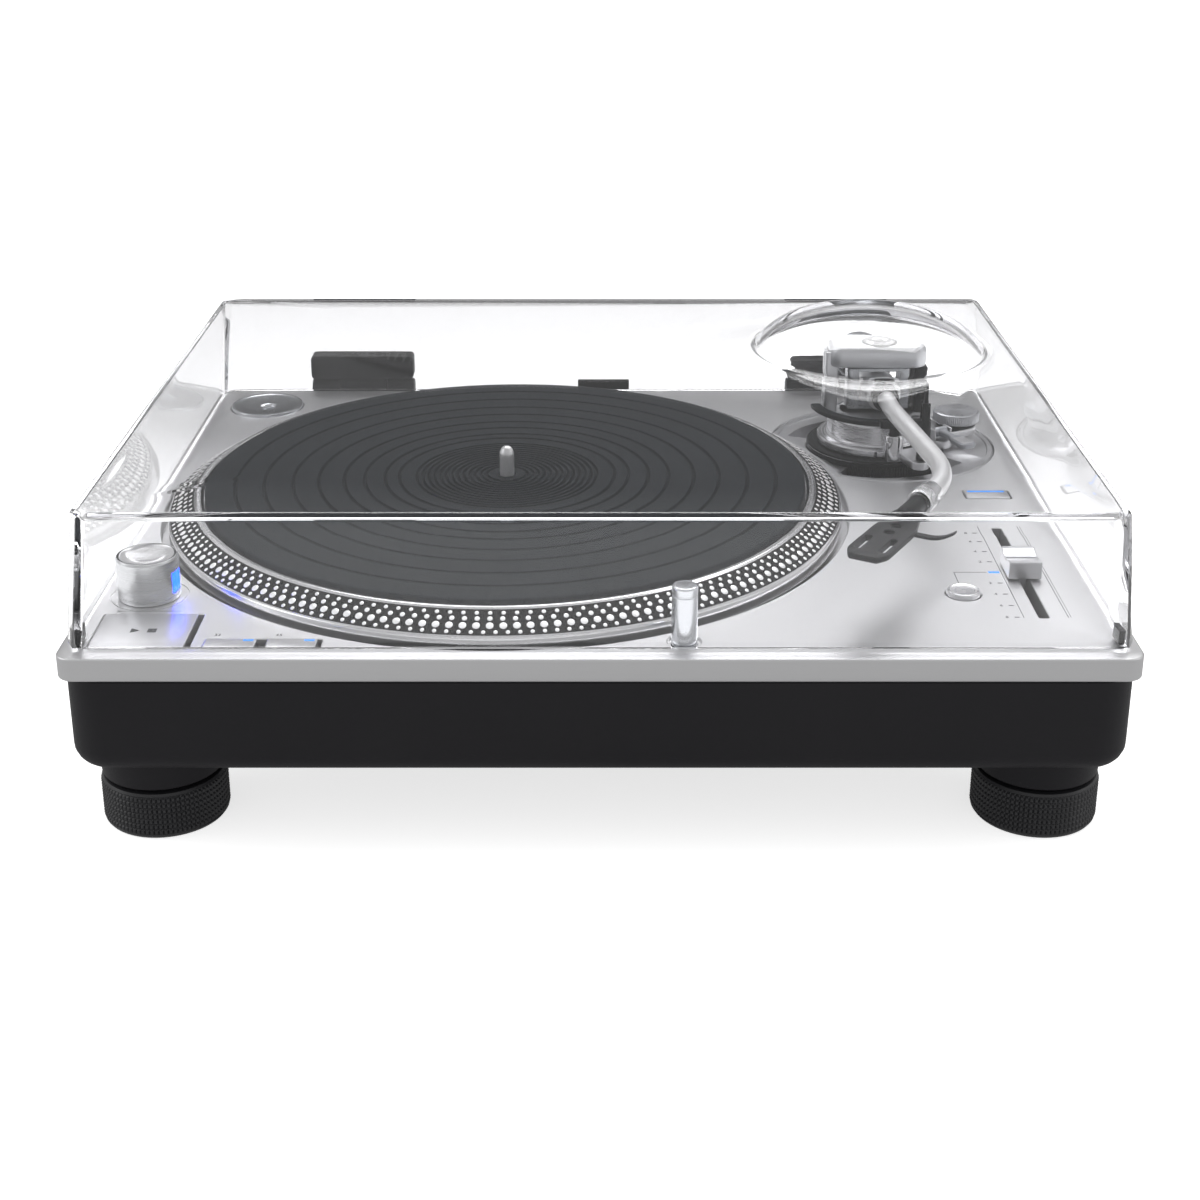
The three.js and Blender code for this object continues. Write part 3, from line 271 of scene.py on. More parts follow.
def outward(outline: np.ndarray) -> np.ndarray:
    """Offsets that move each point of an anticlockwise outline out by one, mitred at corners.

    An offset is (n0 + n1) / (1 + n0 . n1), with n0 and n1 the normals of the edges at the point.

    Args:
        outline: closed line of X and Y.

    Returns:
        One offset for each point.
    """
    edge = np.roll(outline, -1, 0) - outline
    edge /= np.linalg.norm(edge, axis=1)[:, None]
    normal = np.stack([edge[:, 1], -edge[:, 0]], -1)
    before = np.roll(normal, 1, 0)
    return (normal + before) / (1 + (normal * before).sum(1))[:, None]


def slab(outline: np.ndarray, profile: Sequence) -> Surface:
    """An outline carried up through heights, drawn in at each by its own inset.

    A point is outline - inset * outward, at height z.

    Args:
        outline: closed anticlockwise line of X and Y.
        profile: rows of inset and height, from the bottom up.

    Returns:
        The closed surface.
    """
    inset, z = np.asarray(profile, float).T
    flat = outline[None] - inset[:, None, None] * outward(outline)[None]
    height = np.broadcast_to(z[:, None, None], flat.shape[:2] + (1,))
    return skin(np.concatenate([flat, height], -1))


def plate(outline: np.ndarray, low: float, high: float, ease: float = 0.4, steps: int = 4) -> Surface:
    """A flat plate with both edges rounded by quarter circles.

    Args:
        outline: closed anticlockwise line of X and Y.
        low: its underside.
        high: its top.
        ease: radius of the round edges.
        steps: points along each round edge.

    Returns:
        The plate.
    """
    t = np.linspace(0, math.pi / 2, steps)
    bottom = np.stack([ease * (1 - np.sin(t)), low + ease * (1 - np.cos(t))], -1)
    top = np.stack([ease * (1 - np.cos(t)), high - ease * (1 - np.sin(t))], -1)
    return slab(outline, np.concatenate([bottom, top]))


def rectangle(x0: float, y0: float, x1: float, y1: float, corner: float, steps: int = 8) -> np.ndarray:
    """A rectangle's outline with round corners."""
    return eased([(x0, y0), (x1, y0), (x1, y1), (x0, y1)], corner, closed=True, steps=steps)


def box_outline(low: Sequence[float], high: Sequence[float], corner: float) -> np.ndarray:
    """The outline of a box seen from above."""
    return rectangle(low[0], low[1], high[0], high[1], corner)


def cylinder(radius: float, low: float, high: float, at: Sequence[float] = (0, 0),
             steps: int = 96) -> Surface:
    """A plain upright cylinder with sharp edges."""
    return revolve([(0, low), (radius, low), (radius, high), (0, high)], at=at, steps=steps)


def stadium(a: Sequence[float], b: Sequence[float], radius_a: float, radius_b: float,
            steps: int = 24) -> np.ndarray:
    """The outline of a link: two round ends and the straight lines that touch both.

    The lines leave the ends at acos((ra - rb) / distance) to either side of the way from a to b.

    Args:
        a: middle of the first end.
        b: middle of the second end.
        radius_a: radius of the first end.
        radius_b: radius of the second end.
        steps: points around each end.

    Returns:
        The outline, anticlockwise.
    """
    a, b = np.asarray(a, float), np.asarray(b, float)
    along = math.atan2(*(b - a)[::-1])
    lean = math.acos((radius_a - radius_b) / np.linalg.norm(b - a))
    around_a = np.linspace(along + lean, along - lean + FULL, steps)
    around_b = np.linspace(along - lean, along + lean, steps)
    end_a = a + radius_a * np.stack([np.cos(around_a), np.sin(around_a)], -1)
    end_b = b + radius_b * np.stack([np.cos(around_b), np.sin(around_b)], -1)
    return np.concatenate([end_a, end_b])


def sector(inner: float, outer: float, start: float, end: float, at: Sequence[float], ease: float = 0.0,
           steps: int = 40) -> np.ndarray:
    """The outline of part of a flat ring.

    Args:
        inner: radius of its inner side.
        outer: radius of its outer side.
        start: angle where it starts, in degrees.
        end: angle where it ends, in degrees.
        at: the ring's middle.
        ease: how far its corners are rounded.
        steps: points along each side.

    Returns:
        The outline, anticlockwise.
    """
    t = np.radians(np.linspace(start, end, steps))
    out = np.stack([np.cos(t), np.sin(t)], -1)
    line = np.concatenate([outer * out, inner * out[::-1]]) + np.asarray(at, float)
    return eased(line, ease, closed=True) if ease else line


def bars(boxes: Sequence, low: float, high: float) -> Surface:
    """Flat bars, all at one height.

    Args:
        boxes: rows of x0, y0, x1, y1.
        low: their underside.
        high: their top.

    Returns:
        All the bars as one surface.
    """
    b = np.asarray(boxes, float)
    x, y = b[:, [0, 2, 2, 0]], b[:, [1, 1, 3, 3]]
    z = np.broadcast_to(np.array([low, high])[None, :, None], (len(b), 2, 4))
    ring = np.stack([np.repeat(x[:, None], 2, 1), np.repeat(y[:, None], 2, 1), z], -1)
    one = [[0, 3, 2, 1], [4, 5, 6, 7], [0, 1, 5, 4], [1, 2, 6, 5], [2, 3, 7, 6], [3, 0, 4, 7]]
    faces = (np.array(one)[None] + 8 * np.arange(len(b))[:, None, None]).reshape(-1, 4)
    return Surface(ring.reshape(-1, 3), faces.tolist())


def tube(path: np.ndarray, radius: float, steps: int = 32) -> Surface:
    """A round section carried along a level path.

    A point is path + r (cos t * side + sin t * up), with side level and square to the path.

    Args:
        path: points of the middle line.
        radius: the section's radius.
        steps: points around the section.

    Returns:
        The tube, closed at both ends.
    """
    ahead = np.gradient(path, axis=0)
    ahead /= np.linalg.norm(ahead, axis=1)[:, None]
    side = np.cross(ahead, [0.0, 0.0, 1.0])
    side /= np.linalg.norm(side, axis=1)[:, None]
    up = np.cross(side, ahead)
    t = np.linspace(0, FULL, steps, endpoint=False)
    ring = np.cos(t)[None, :, None] * side[:, None] + np.sin(t)[None, :, None] * up[:, None]
    return skin(path[:, None] + radius * ring)


def rod(start: Sequence[float], end: Sequence[float], profile: Sequence, steps: int = 64) -> Surface:
    """A turned piece between two points.

    Args:
        start: where the profile's height is 0.
        end: a point further along its axis.
        profile: rows of radius and distance from start.
        steps: points around the turn.

    Returns:
        The turned piece.
    """
    return revolve(profile, steps=steps).aimed(start, np.asarray(end, float) - np.asarray(start, float))


def bar_profile(radius: float, start: float, end: float, ease: float = 0.4) -> np.ndarray:
    """The profile of a plain turned bar with eased edges."""
    return eased([(0, start), (radius, start), (radius, end), (0, end)], ease)


def straight(a: np.ndarray, b: np.ndarray, steps: int) -> np.ndarray:
    """Points at even steps from a to b."""
    return a + (b - a) * np.linspace(0, 1, steps)[:, None]


def bend(a: np.ndarray, p: np.ndarray, b: np.ndarray, steps: int) -> np.ndarray:
    """Points on the curve (1 - t)^2 a + 2t(1 - t) p + t^2 b, with t from 0 to 1."""
    t = np.linspace(0, 1, steps)[:, None]
    return (1 - t) ** 2 * a + 2 * t * (1 - t) * p + t**2 * b


# ---------------------------------------------------------------- pieces


def mesh_of(name: str, surfaces: Sequence[Surface]) -> bpy.types.Mesh:
    """One mesh in metres from surfaces in millimetres.

    Args:
        name: the mesh's name.
        surfaces: closed surfaces, each its own shell.

    Returns:
        The mesh, with shared points merged and faces outward.
    """
    offsets = np.cumsum([0] + [len(s.points) for s in surfaces[:-1]])
    points = np.concatenate([s.points for s in surfaces]) * MM
    faces = [[i + start for i in face] for s, start in zip(surfaces, offsets.tolist()) for face in s.faces]
    mesh = bpy.data.meshes.new(name)
    mesh.from_pydata(points.tolist(), [], faces)
    closed_up(mesh)
    return mesh


def closed_up(mesh: bpy.types.Mesh, slivers: bool = False) -> None:
    """Merges a mesh's doubled points and turns every face outward.

    Args:
        mesh: the mesh, changed in place.
        slivers: True where faces without area may stay, as in a figure's fine curves.
    """
    work = bmesh.new()
    work.from_mesh(mesh)
    bmesh.ops.remove_doubles(work, verts=work.verts, dist=MERGE)
    if not slivers:
        bmesh.ops.dissolve_degenerate(work, edges=work.edges, dist=MERGE / 2)
    bmesh.ops.recalc_face_normals(work, faces=work.faces)
    work.to_mesh(mesh)
    work.free()


def carved(mesh: bpy.types.Mesh, cutters: Sequence[Surface]) -> bpy.types.Mesh:
    """A mesh with other closed surfaces cut from it.

    Args:
        mesh: a closed mesh.
        cutters: what is cut away, each a closed surface.

    Returns:
        A new mesh.
    """
    scene = bpy.context.scene
    body = bpy.data.objects.new("blank", mesh)
    scene.collection.objects.link(body)
    for surface in cutters:
        tool = bpy.data.objects.new("tool", mesh_of("tool", [surface]))
        scene.collection.objects.link(tool)
        cut = body.modifiers.new("cut", "BOOLEAN")
        cut.operation = "DIFFERENCE"
        cut.solver = "MANIFOLD"
        cut.object = tool
    made = bpy.data.meshes.new_from_object(body.evaluated_get(bpy.context.evaluated_depsgraph_get()))
    for cut in body.modifiers:
        bpy.data.objects.remove(cut.object)
    bpy.data.objects.remove(body)
    return made


def present(name: str, shape: Sequence[Surface] | bpy.types.Mesh, material: bpy.types.Material, body: str,
            replaces: Sequence[str] = (),
            crease: float = 32) -> bpy.types.Object:
    """Puts a finished piece in the scene, on its body.

    Args:
        name: the piece's name.
        shape: surfaces, or a mesh already made.
        material: its finish.
        body: the frame body it rides on.
        replaces: frame nodes that it stands for.
        crease: angle in degrees past which an edge stays sharp.

    Returns:
        The piece's object.
    """
    mesh = shape if isinstance(shape, bpy.types.Mesh) else mesh_of(name, shape)
    mesh.name = name
    piece = bpy.data.objects.new(name, mesh)
    bpy.context.scene.collection.objects.link(piece)
    mesh.materials.clear()
    mesh.materials.append(material)
    mesh.shade_smooth()
    mesh.set_sharp_from_angle(angle=math.radians(crease))
    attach(piece, body)
    if replaces:
        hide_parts(*replaces)
    LOG.info("%s: %d faces on %s", name, len(mesh.polygons), body)
    return piece


def soften(piece: bpy.types.Object, width: float, segments: int, angle: float) -> None:
    """Rounds a piece's sharp edges.

    Args:
        piece: the piece.
        width: width of the rounding in millimetres.
        segments: faces across it.
        angle: edges sharper than this many degrees are rounded.
    """
    edge = piece.modifiers.new("eased edges", "BEVEL")
    edge.width, edge.segments = width * MM, segments
    edge.limit_method, edge.angle_limit = "ANGLE", math.radians(angle)


def dress(node: str, material: bpy.types.Material) -> None:
    """Gives a frame node that keeps its own mesh its finish.

    Args:
        node: the node's name.
        material: its finish.
    """
    materials = frame["nodes"][node].data.materials
    materials.clear()
    materials.append(material)
    LOG.info("%s: frame node dressed", node)


# ---------------------------------------------------------------- finishes


def linear(hexadecimal: str) -> tuple[float, float, float, float]:
    """An sRGB hex colour as linear light.

    Args:
        hexadecimal: the colour as #RRGGBB.

    Returns:
        Red, green, blue and alpha.
    """
    value = np.array([int(hexadecimal[i : i + 2], 16) for i in (1, 3, 5)]) / 255
    straight = np.where(value <= 0.04045, value / 12.92, ((value + 0.055) / 1.055) ** 2.4)
    return (*straight.tolist(), 1.0)


def add(tree: bpy.types.NodeTree, kind: str, links: dict | None = None, **settings) -> bpy.types.Node:
    """Adds a shader node with its settings and links.

    Args:
        tree: the material's node tree.
        kind: the node's type name.
        links: sockets that feed its inputs, by input name or number.
        settings: attribute values, or values of inputs whose names have spaces as underscores.

    Returns:
        The new node.
    """
    node = tree.nodes.new(kind)
    for key, value in settings.items():
        label = key.replace("_", " ")
        if label in node.inputs:
            node.inputs[label].default_value = value
        else:
            setattr(node, key, value)
    for key, socket in (links or {}).items():
        tree.links.new(socket, node.inputs[key])
    return node


def new_material(name: str) -> tuple[bpy.types.Material, bpy.types.NodeTree, bpy.types.Node, bpy.types.Node]:
    """A material that holds a shader and an output, and nothing else yet.

    Args:
        name: the material's name.

    Returns:
        The material, its tree, its shader and its texture coordinates.
    """
    material = bpy.data.materials.new(name)
    material.use_nodes = True
    tree = material.node_tree
    tree.nodes.clear()
    output = add(tree, "ShaderNodeOutputMaterial")
    shader = add(tree, "ShaderNodeBsdfPrincipled")
    tree.links.new(shader.outputs["BSDF"], output.inputs["Surface"])
    return material, tree, shader, add(tree, "ShaderNodeTexCoord")


def grain(tree: bpy.types.NodeTree, shader: bpy.types.Node, noise: bpy.types.Node, roughness: Sequence[float],
          spread: Sequence[float], depth_mm: float) -> None:
    """Lets a noise set a shader's roughness and a shallow bump.

    Args:
        tree: the material's node tree.
        shader: the shader.
        noise: the grain's noise.
        roughness: lowest and highest roughness.
        spread: the noise's values that give them.
        depth_mm: depth of the bump in millimetres.
    """
    height = noise.outputs["Fac"]
    rough = add(
        tree, "ShaderNodeMapRange", {"Value": height},
        From_Min=spread[0], From_Max=spread[1], To_Min=roughness[0], To_Max=roughness[1],
    )
    bump = add(tree, "ShaderNodeBump", {"Height": height}, Distance=depth_mm * MM, Strength=1.0)
    tree.links.new(rough.outputs["Result"], shader.inputs["Roughness"])
    tree.links.new(bump.outputs["Normal"], shader.inputs["Normal"])


class Lay(Enum):
    """Which way a metal's finishing marks run."""

    BLASTED = "even grain"
    TURNED = "rings about an upright axis"


@dataclass(frozen=True)
class MetalFinish:
    """A bare or anodised metal: colour, gloss, and the grain that the last tool left.

    The grain is drawn by noise whose size comes from grain_mm, read from radius and height on a
    turned piece. It sets both roughness and a shallow bump. A real grain is some 0.05 mm, too fine
    to show, so it is drawn 0.3 to 0.6 mm wide.
    """

    name: str
    colour: str
    roughness: float
    grain_mm: float
    depth_mm: float = 0.004
    spread: float = 0.06
    lay: Lay = Lay.BLASTED
    centre: tuple[float, float] = (0.0, 0.0)
    anisotropy: float = 0.0
    metallic: float = 1.0
    specular: float = 0.5

    def build(self) -> bpy.types.Material:
        """The finish as a material."""
        material, tree, shader, coords = new_material(self.name)
        where = add(
            tree, "ShaderNodeMapping", {"Vector": coords.outputs["Object"]},
            Location=(-self.centre[0] * MM, -self.centre[1] * MM, 0),
        )
        vector = where.outputs["Vector"]
        if self.lay is Lay.TURNED:
            parts = add(tree, "ShaderNodeSeparateXYZ", {"Vector": vector})
            flat = add(tree, "ShaderNodeCombineXYZ", {"X": parts.outputs["X"], "Y": parts.outputs["Y"]})
            radius = add(tree, "ShaderNodeVectorMath", {0: flat.outputs["Vector"]}, operation="LENGTH")
            across = add(tree, "ShaderNodeCombineXYZ",
                         {"X": radius.outputs["Value"], "Z": parts.outputs["Z"]})
            vector = across.outputs["Vector"]
        noise = add(tree, "ShaderNodeTexNoise", {"Vector": vector}, Scale=1 / (self.grain_mm * MM),
                    Detail=3.0)
        ends = (self.roughness - self.spread, self.roughness + self.spread)
        grain(tree, shader, noise, ends, (0.25, 0.75), self.depth_mm)
        shader.inputs["Base Color"].default_value = linear(self.colour)
        shader.inputs["Metallic"].default_value = self.metallic
        shader.inputs["Anisotropic"].default_value = self.anisotropy
        shader.inputs["Specular IOR Level"].default_value = self.specular
        return material


@dataclass(frozen=True)
class MouldedFinish:
    """A plastic, rubber or paint: two close colours mixed by broad noise, over a fine grain."""

    name: str
    colour: str
    second: str
    roughness: float
    grain_mm: float
    depth_mm: float = 0.01
    cloud_mm: float = 30.0
    specular: float = 0.5

    def build(self) -> bpy.types.Material:
        """The finish as a material."""
        material, tree, shader, coords = new_material(self.name)
        place = {"Vector": coords.outputs["Object"]}
        cloud = add(tree, "ShaderNodeTexNoise", place, Scale=1 / (self.cloud_mm * MM), Detail=2.0)
        noise = add(tree, "ShaderNodeTexNoise", place, Scale=1 / (self.grain_mm * MM), Detail=2.0)
        tint = add(tree, "ShaderNodeMix", {"Factor": cloud.outputs["Fac"]}, data_type="RGBA")
        tint.inputs[6].default_value = linear(self.colour)
        tint.inputs[7].default_value = linear(self.second)
        ends = (self.roughness - 0.05, self.roughness + 0.05)
        grain(tree, shader, noise, ends, (0.3, 0.7), self.depth_mm)
        tree.links.new(tint.outputs[2], shader.inputs["Base Color"])
        shader.inputs["Specular IOR Level"].default_value = self.specular
        return material


@dataclass(frozen=True)
class AcrylicFinish:
    """Clear cast acrylic: bends light at its edges and lets lamps light what it covers."""

    name: str
    colour: str
    shadow: str = "#FBFBFC"
    roughness: float = 0.0
    ior: float = 1.49
    turns: float = 4.5

    def build(self) -> bpy.types.Material:
        """The finish as a material."""
        material, tree, shader, _ = new_material(self.name)
        shader.inputs["Base Color"].default_value = linear(self.colour)
        shader.inputs["Roughness"].default_value = self.roughness
        shader.inputs["IOR"].default_value = self.ior
        shader.inputs["Transmission Weight"].default_value = 1.0
        rays = add(tree, "ShaderNodeLightPath")
        lamp = add(
            tree, "ShaderNodeMath",
            {0: rays.outputs["Is Shadow Ray"], 1: rays.outputs["Is Diffuse Ray"]}, operation="MAXIMUM",
        )
        # Light that has turned many times inside a wall comes out of its edge instead of fading away.
        trapped = add(tree, "ShaderNodeMath", {0: rays.outputs["Ray Depth"]}, operation="GREATER_THAN")
        trapped.inputs[1].default_value = self.turns
        passed = add(
            tree, "ShaderNodeMath", {0: lamp.outputs["Value"], 1: trapped.outputs["Value"]},
            operation="MAXIMUM",
        )
        clear = add(tree, "ShaderNodeBsdfTransparent", Color=linear(self.shadow))
        mix = add(
            tree, "ShaderNodeMixShader",
            {0: passed.outputs["Value"], 1: shader.outputs["BSDF"], 2: clear.outputs["BSDF"]},
        )
        output = next(n for n in tree.nodes if n.type == "OUTPUT_MATERIAL")
        tree.links.new(mix.outputs["Shader"], output.inputs["Surface"])
        return material


@dataclass(frozen=True)
class LampFinish:
    """A lit lens: a soft plastic skin over a coloured lamp."""

    name: str
    colour: str
    strength: float
    cloud_mm: float = 2.0

    def build(self) -> bpy.types.Material:
        """The finish as a material."""
        material, tree, shader, coords = new_material(self.name)
        place = {"Vector": coords.outputs["Object"]}
        noise = add(tree, "ShaderNodeTexNoise", place, Scale=1 / (self.cloud_mm * MM))
        rough = add(tree, "ShaderNodeMapRange", {"Value": noise.outputs["Fac"]}, To_Min=0.15, To_Max=0.35)
        tree.links.new(rough.outputs["Result"], shader.inputs["Roughness"])
        shader.inputs["Base Color"].default_value = linear(self.colour)
        shader.inputs["Emission Color"].default_value = linear(self.colour)
        shader.inputs["Emission Strength"].default_value = self.strength
        return material


def turned_metal(name: str, colour: str, roughness: float, at: Sequence[float],
                 grain: float = 0.35) -> bpy.types.Material:
    """Aluminium faced on a lathe: fine rings about an upright axis draw its highlights out.

    Args:
        name: the material's name.
        colour: its sRGB hex colour.
        roughness: its middle roughness.
        at: X and Y of the axis.
        grain: width of a ring in millimetres.

    Returns:
        The material.
    """
    centre = (float(at[0]), float(at[1]))
    return MetalFinish(name, colour, roughness, grain, 0.006, 0.08, Lay.TURNED, centre, 0.4).build()


class Finishes:
    """Every finish of the player, made once."""

    def __init__(self) -> None:
        """Makes the materials."""
        # Silver anodised aluminium, bead blasted first: soft and even, without a mirror image.
        self.deck = MetalFinish("blasted_anodised_aluminium", "#D3D3D4", 0.40, 0.45, 0.003, 0.05).build()
        # Keys are cut from the same stock and a little smoother, so they catch more light.
        self.button = MetalFinish("satin_anodised_aluminium", "#D0D0D2", 0.33, 0.3, 0.002, 0.05).build()
        # Polished edges and rings show the room as sharp bright lines.
        self.polished = MetalFinish("polished_aluminium", "#E6E6E7", 0.12, 0.5, 0.001, 0.04).build()
        # The dots of the rim are polished through the enamel and look white from every side.
        self.dot = MetalFinish("bright_dot_aluminium", "#FAFAFA", 0.45, 0.4, 0.001, 0.04).build()
        # The tube and the spindle are satin polished: almost white, with one broad highlight.
        self.tube = MetalFinish("satin_polished_tube", "#F4F4F4", 0.42, 0.4, 0.001, 0.04).build()
        # Die castings are blasted and lacquered: a dull, faintly pitted grey.
        self.cast = MetalFinish("blasted_die_casting", "#C6C7C9", 0.42, 0.5, 0.006, 0.08).build()
        # The cue lever is painted, so it is darker and less metallic than what it stands on.
        self.lever = MetalFinish(
            "painted_zinc_casting", "#A9ABAF", 0.45, 0.5, 0.006, 0.08, metallic=0.7,
        ).build()
        # Zinc plate on screws, studs and the weight: a cold grey shine that is never quite even.
        self.steel = MetalFinish("zinc_plated_steel", "#A9ABAE", 0.32, 0.6, 0.004, 0.1).build()
        # Gold flash on brass contacts: warm and bright.
        self.brass = MetalFinish("gold_plated_brass", "#D9B45B", 0.22, 0.5, 0.002, 0.06).build()
        # Enamelled copper windings: a dull orange brown.
        self.copper = MetalFinish("enamelled_copper_wire", "#B06A3A", 0.35, 0.4, 0.01, 0.08).build()
        # Black anodising keeps some of the metal's sheen under a deep black.
        self.black_metal = MetalFinish(
            "black_anodised_aluminium", "#131417", 0.4, 0.35, 0.003, 0.08, metallic=0.3, specular=0.25,
        ).build()
        # Enamel between the rim's dots: flat black, so that the dots stand out.
        self.black_gloss = MouldedFinish(
            "black_enamel", "#050506", "#08080A", 0.5, 0.4, 0.002, 12, 0.12,
        ).build()
        # Bulk moulding compound: heavy, matt and very slightly mottled.
        self.base = MouldedFinish(
            "moulded_bulk_compound", "#19181B", "#141317", 0.5, 0.5, 0.012, 60, 0.22,
        ).build()
        # Moulded ABS with a spark-eroded texture: hinges, sockets and small fittings.
        self.moulding = MouldedFinish("black_abs", "#0F0F11", "#141416", 0.38, 0.4, 0.004, 20, 0.3).build()
        # Foot rubber is greyer than the base and picks up soft highlights on its pyramids.
        self.foot = MouldedFinish("black_foot_rubber", "#1E1E20", "#262629", 0.42, 0.4, 0.01, 8).build()
        # Mat rubber: a dusty blue-black with next to no shine.
        self.mat = MouldedFinish("slate_mat_rubber", "#202429", "#1C2024", 0.7, 0.35, 0.003, 25, 0.12).build()
        # Screen ink: a thin dark grey film.
        self.ink = MouldedFinish("grey_screen_ink", "#2A2C30", "#232528", 0.6, 0.3, 0.002, 8).build()
        # Solder resist on the boards inside: green and glossy.
        self.board = MouldedFinish("green_solder_resist", "#1F5A3B", "#184A30", 0.35, 0.8, 0.01, 9).build()
        # Cast acrylic: colourless and clear, seen by its bright edges and reflections.
        self.acrylic = AcrylicFinish("clear_cast_acrylic", "#FAFAFB").build()
        # The strobe's window glows a strong blue and lights the rim beside it.
        self.blue_lamp = LampFinish("blue_lamp_lens", "#0430FF", 12.0).build()
        # The strips in the keys are only just lit.
        self.blue_mark = LampFinish("blue_light_strip", "#3C93F5", 0.7).build()


# ---------------------------------------------------------------- plinth and deck


@dataclass
class Plinth:
    """The black moulded base with its feet, and the sockets in its back wall."""

    finishes: Finishes
    bottom_rounding: float = 10.0
    corner: float = 18.0
    wall: float = 4.0
    boss_gap: float = 1.5
    boss_height: float = 17.5
    stud_hole: float = 6.3
    thread_pitch: float = 1.5
    knurls: int = 84
    knurl_rows: int = 7
    knurl_depth: float = 0.9

    def build(self) -> None:
        """Builds the shell, the feet and the back panel's pieces."""
        self.build_shell()
        for node in FEET:
            self.build_foot(node)
        self.build_sockets()
        for node in ("power_supply", "control_board"):
            dress(node, self.finishes.board)

    def build_shell(self) -> None:
        """The shell: an outline drawn in by a quarter circle at its lower edge, with four foot bosses."""
        low, high = span("base_shell")
        feet = [middle(node)[:2] for node in FEET]
        foot_radius = span(FEET[0])[1][0] - feet[0][0]
        boss_low = span(FEET[0])[1][2] + self.boss_gap
        bottom = boss_low + self.boss_height
        t = np.linspace(0, math.pi / 2, 10)
        round_edge = np.stack([1 - np.sin(t), 1 - np.cos(t)], -1) * self.bottom_rounding
        lower = [(inset, bottom + rise) for inset, rise in round_edge]
        lip = [(0.0, high[2] - 0.6), (0.5, high[2])]
        outline = box_outline(low, high, self.corner)
        shell = slab(outline, lower + lip)
        floor = bottom + self.wall
        hole = self.stud_hole
        skirt = eased(
            [(hole, boss_low), (foot_radius - 1, boss_low), (foot_radius + 0.6, bottom - 2),
             (foot_radius + 1, floor), (hole, floor)],
            [0.1, 0.8, 3, 0.5, 0.1], closed=True,
        )
        bosses = [revolve(skirt, at=foot, steps=96, ring=True) for foot in feet]
        hollow = slab(outline, [(self.wall + 8, floor), (self.wall, floor + 8), (self.wall, high[2] + 2)])
        holes = [cylinder(hole, 0, floor + 1, foot) for foot in feet]
        windows = []
        for node in ("terminal_panel", "ac_inlet"):
            a, b = span(node)
            # The inlet's own flange covers the edge of its window, so that window is smaller.
            reach, rise = (4.7, 2.7) if node == "ac_inlet" else (-0.3, -0.3)
            window = rectangle(a[0] + reach, a[2] + rise, b[0] - reach, b[2] - rise, 1.2)
            windows.append(stand(plate(window, 0, 30, 0.05), high[1] - 8.0))
        mesh = carved(mesh_of("plinth_shell", [shell]), [hollow, *holes, *windows])
        present("plinth_shell", mesh, self.finishes.base, "plinth", ["base_shell"])
        present("plinth_foot_bosses", bosses, self.finishes.base, "plinth")

    def build_foot(self, node: str) -> None:
        """A foot: a ring of square pyramids, and the threaded stud that it turns on.

        A pyramid's height is the smaller of two triangle waves, one around the foot and one up it,
        cut off flat at 1 / 1.6 of its peak.

        Args:
            node: the foot's frame node.
        """
        low, high = span(node)
        at = middle(node)[:2]
        radius = high[0] - at[0]
        band_low, band_high = low[2] + 2.2, high[2] - 2.0
        z = np.linspace(band_low, band_high, self.knurl_rows * 4 + 1)
        t = np.linspace(0, FULL, self.knurls * 4, endpoint=False)
        across = 1 - np.abs(((t * self.knurls / FULL) % 1) * 2 - 1)
        upward = 1 - np.abs((((z - band_low) / (band_high - band_low) * self.knurl_rows) % 1) * 2 - 1)
        pyramid = np.clip(np.minimum(across[None, :], upward[:, None]) * 1.6, 0, 1)
        r = radius - self.knurl_depth * (1 - pyramid)
        ends = [(0, low[2]), (radius - 3, low[2]), (radius - 1.3, low[2] + 0.5), (radius - 0.5, low[2] + 1.6)]
        tops = [(radius - 0.5, high[2] - 1.5), (radius - 1.2, high[2] - 0.4), (radius - 2.6, high[2]),
                (0, high[2])]
        rows_r = np.concatenate([
            np.repeat([[e[0]] for e in ends], len(t), 1), r, np.repeat([[e[0]] for e in tops], len(t), 1)
        ])
        rows_z = np.concatenate([[e[1] for e in ends], z, [e[1] for e in tops]])
        points = np.stack([
            at[0] + rows_r * np.cos(t), at[1] + rows_r * np.sin(t), np.repeat(rows_z[:, None], len(t), 1)
        ], -1)
        present(node.replace("foot_", "knurled_foot_"), [skin(points)], self.finishes.foot, node,
                [node], crease=20)
        stud = "foot_stud_" + node[5:]
        a, b = span(stud)
        turns = int((b[2] - high[2]) / self.thread_pitch)
        crest = (b[0] - a[0]) / 2 - 4.0
        heights = high[2] + 0.2 + self.thread_pitch * np.arange(turns * 2) / 2
        thread = [(crest - (i % 2) * 0.9, h) for i, h in enumerate(heights)]
        rows = [(0, a[2] + 19), *thread, (0, heights[-1])]
        present("threaded_" + stud, [revolve(rows, at=at, steps=48)], self.finishes.steel,
                "stud_" + node[5:], [stud], crease=50)

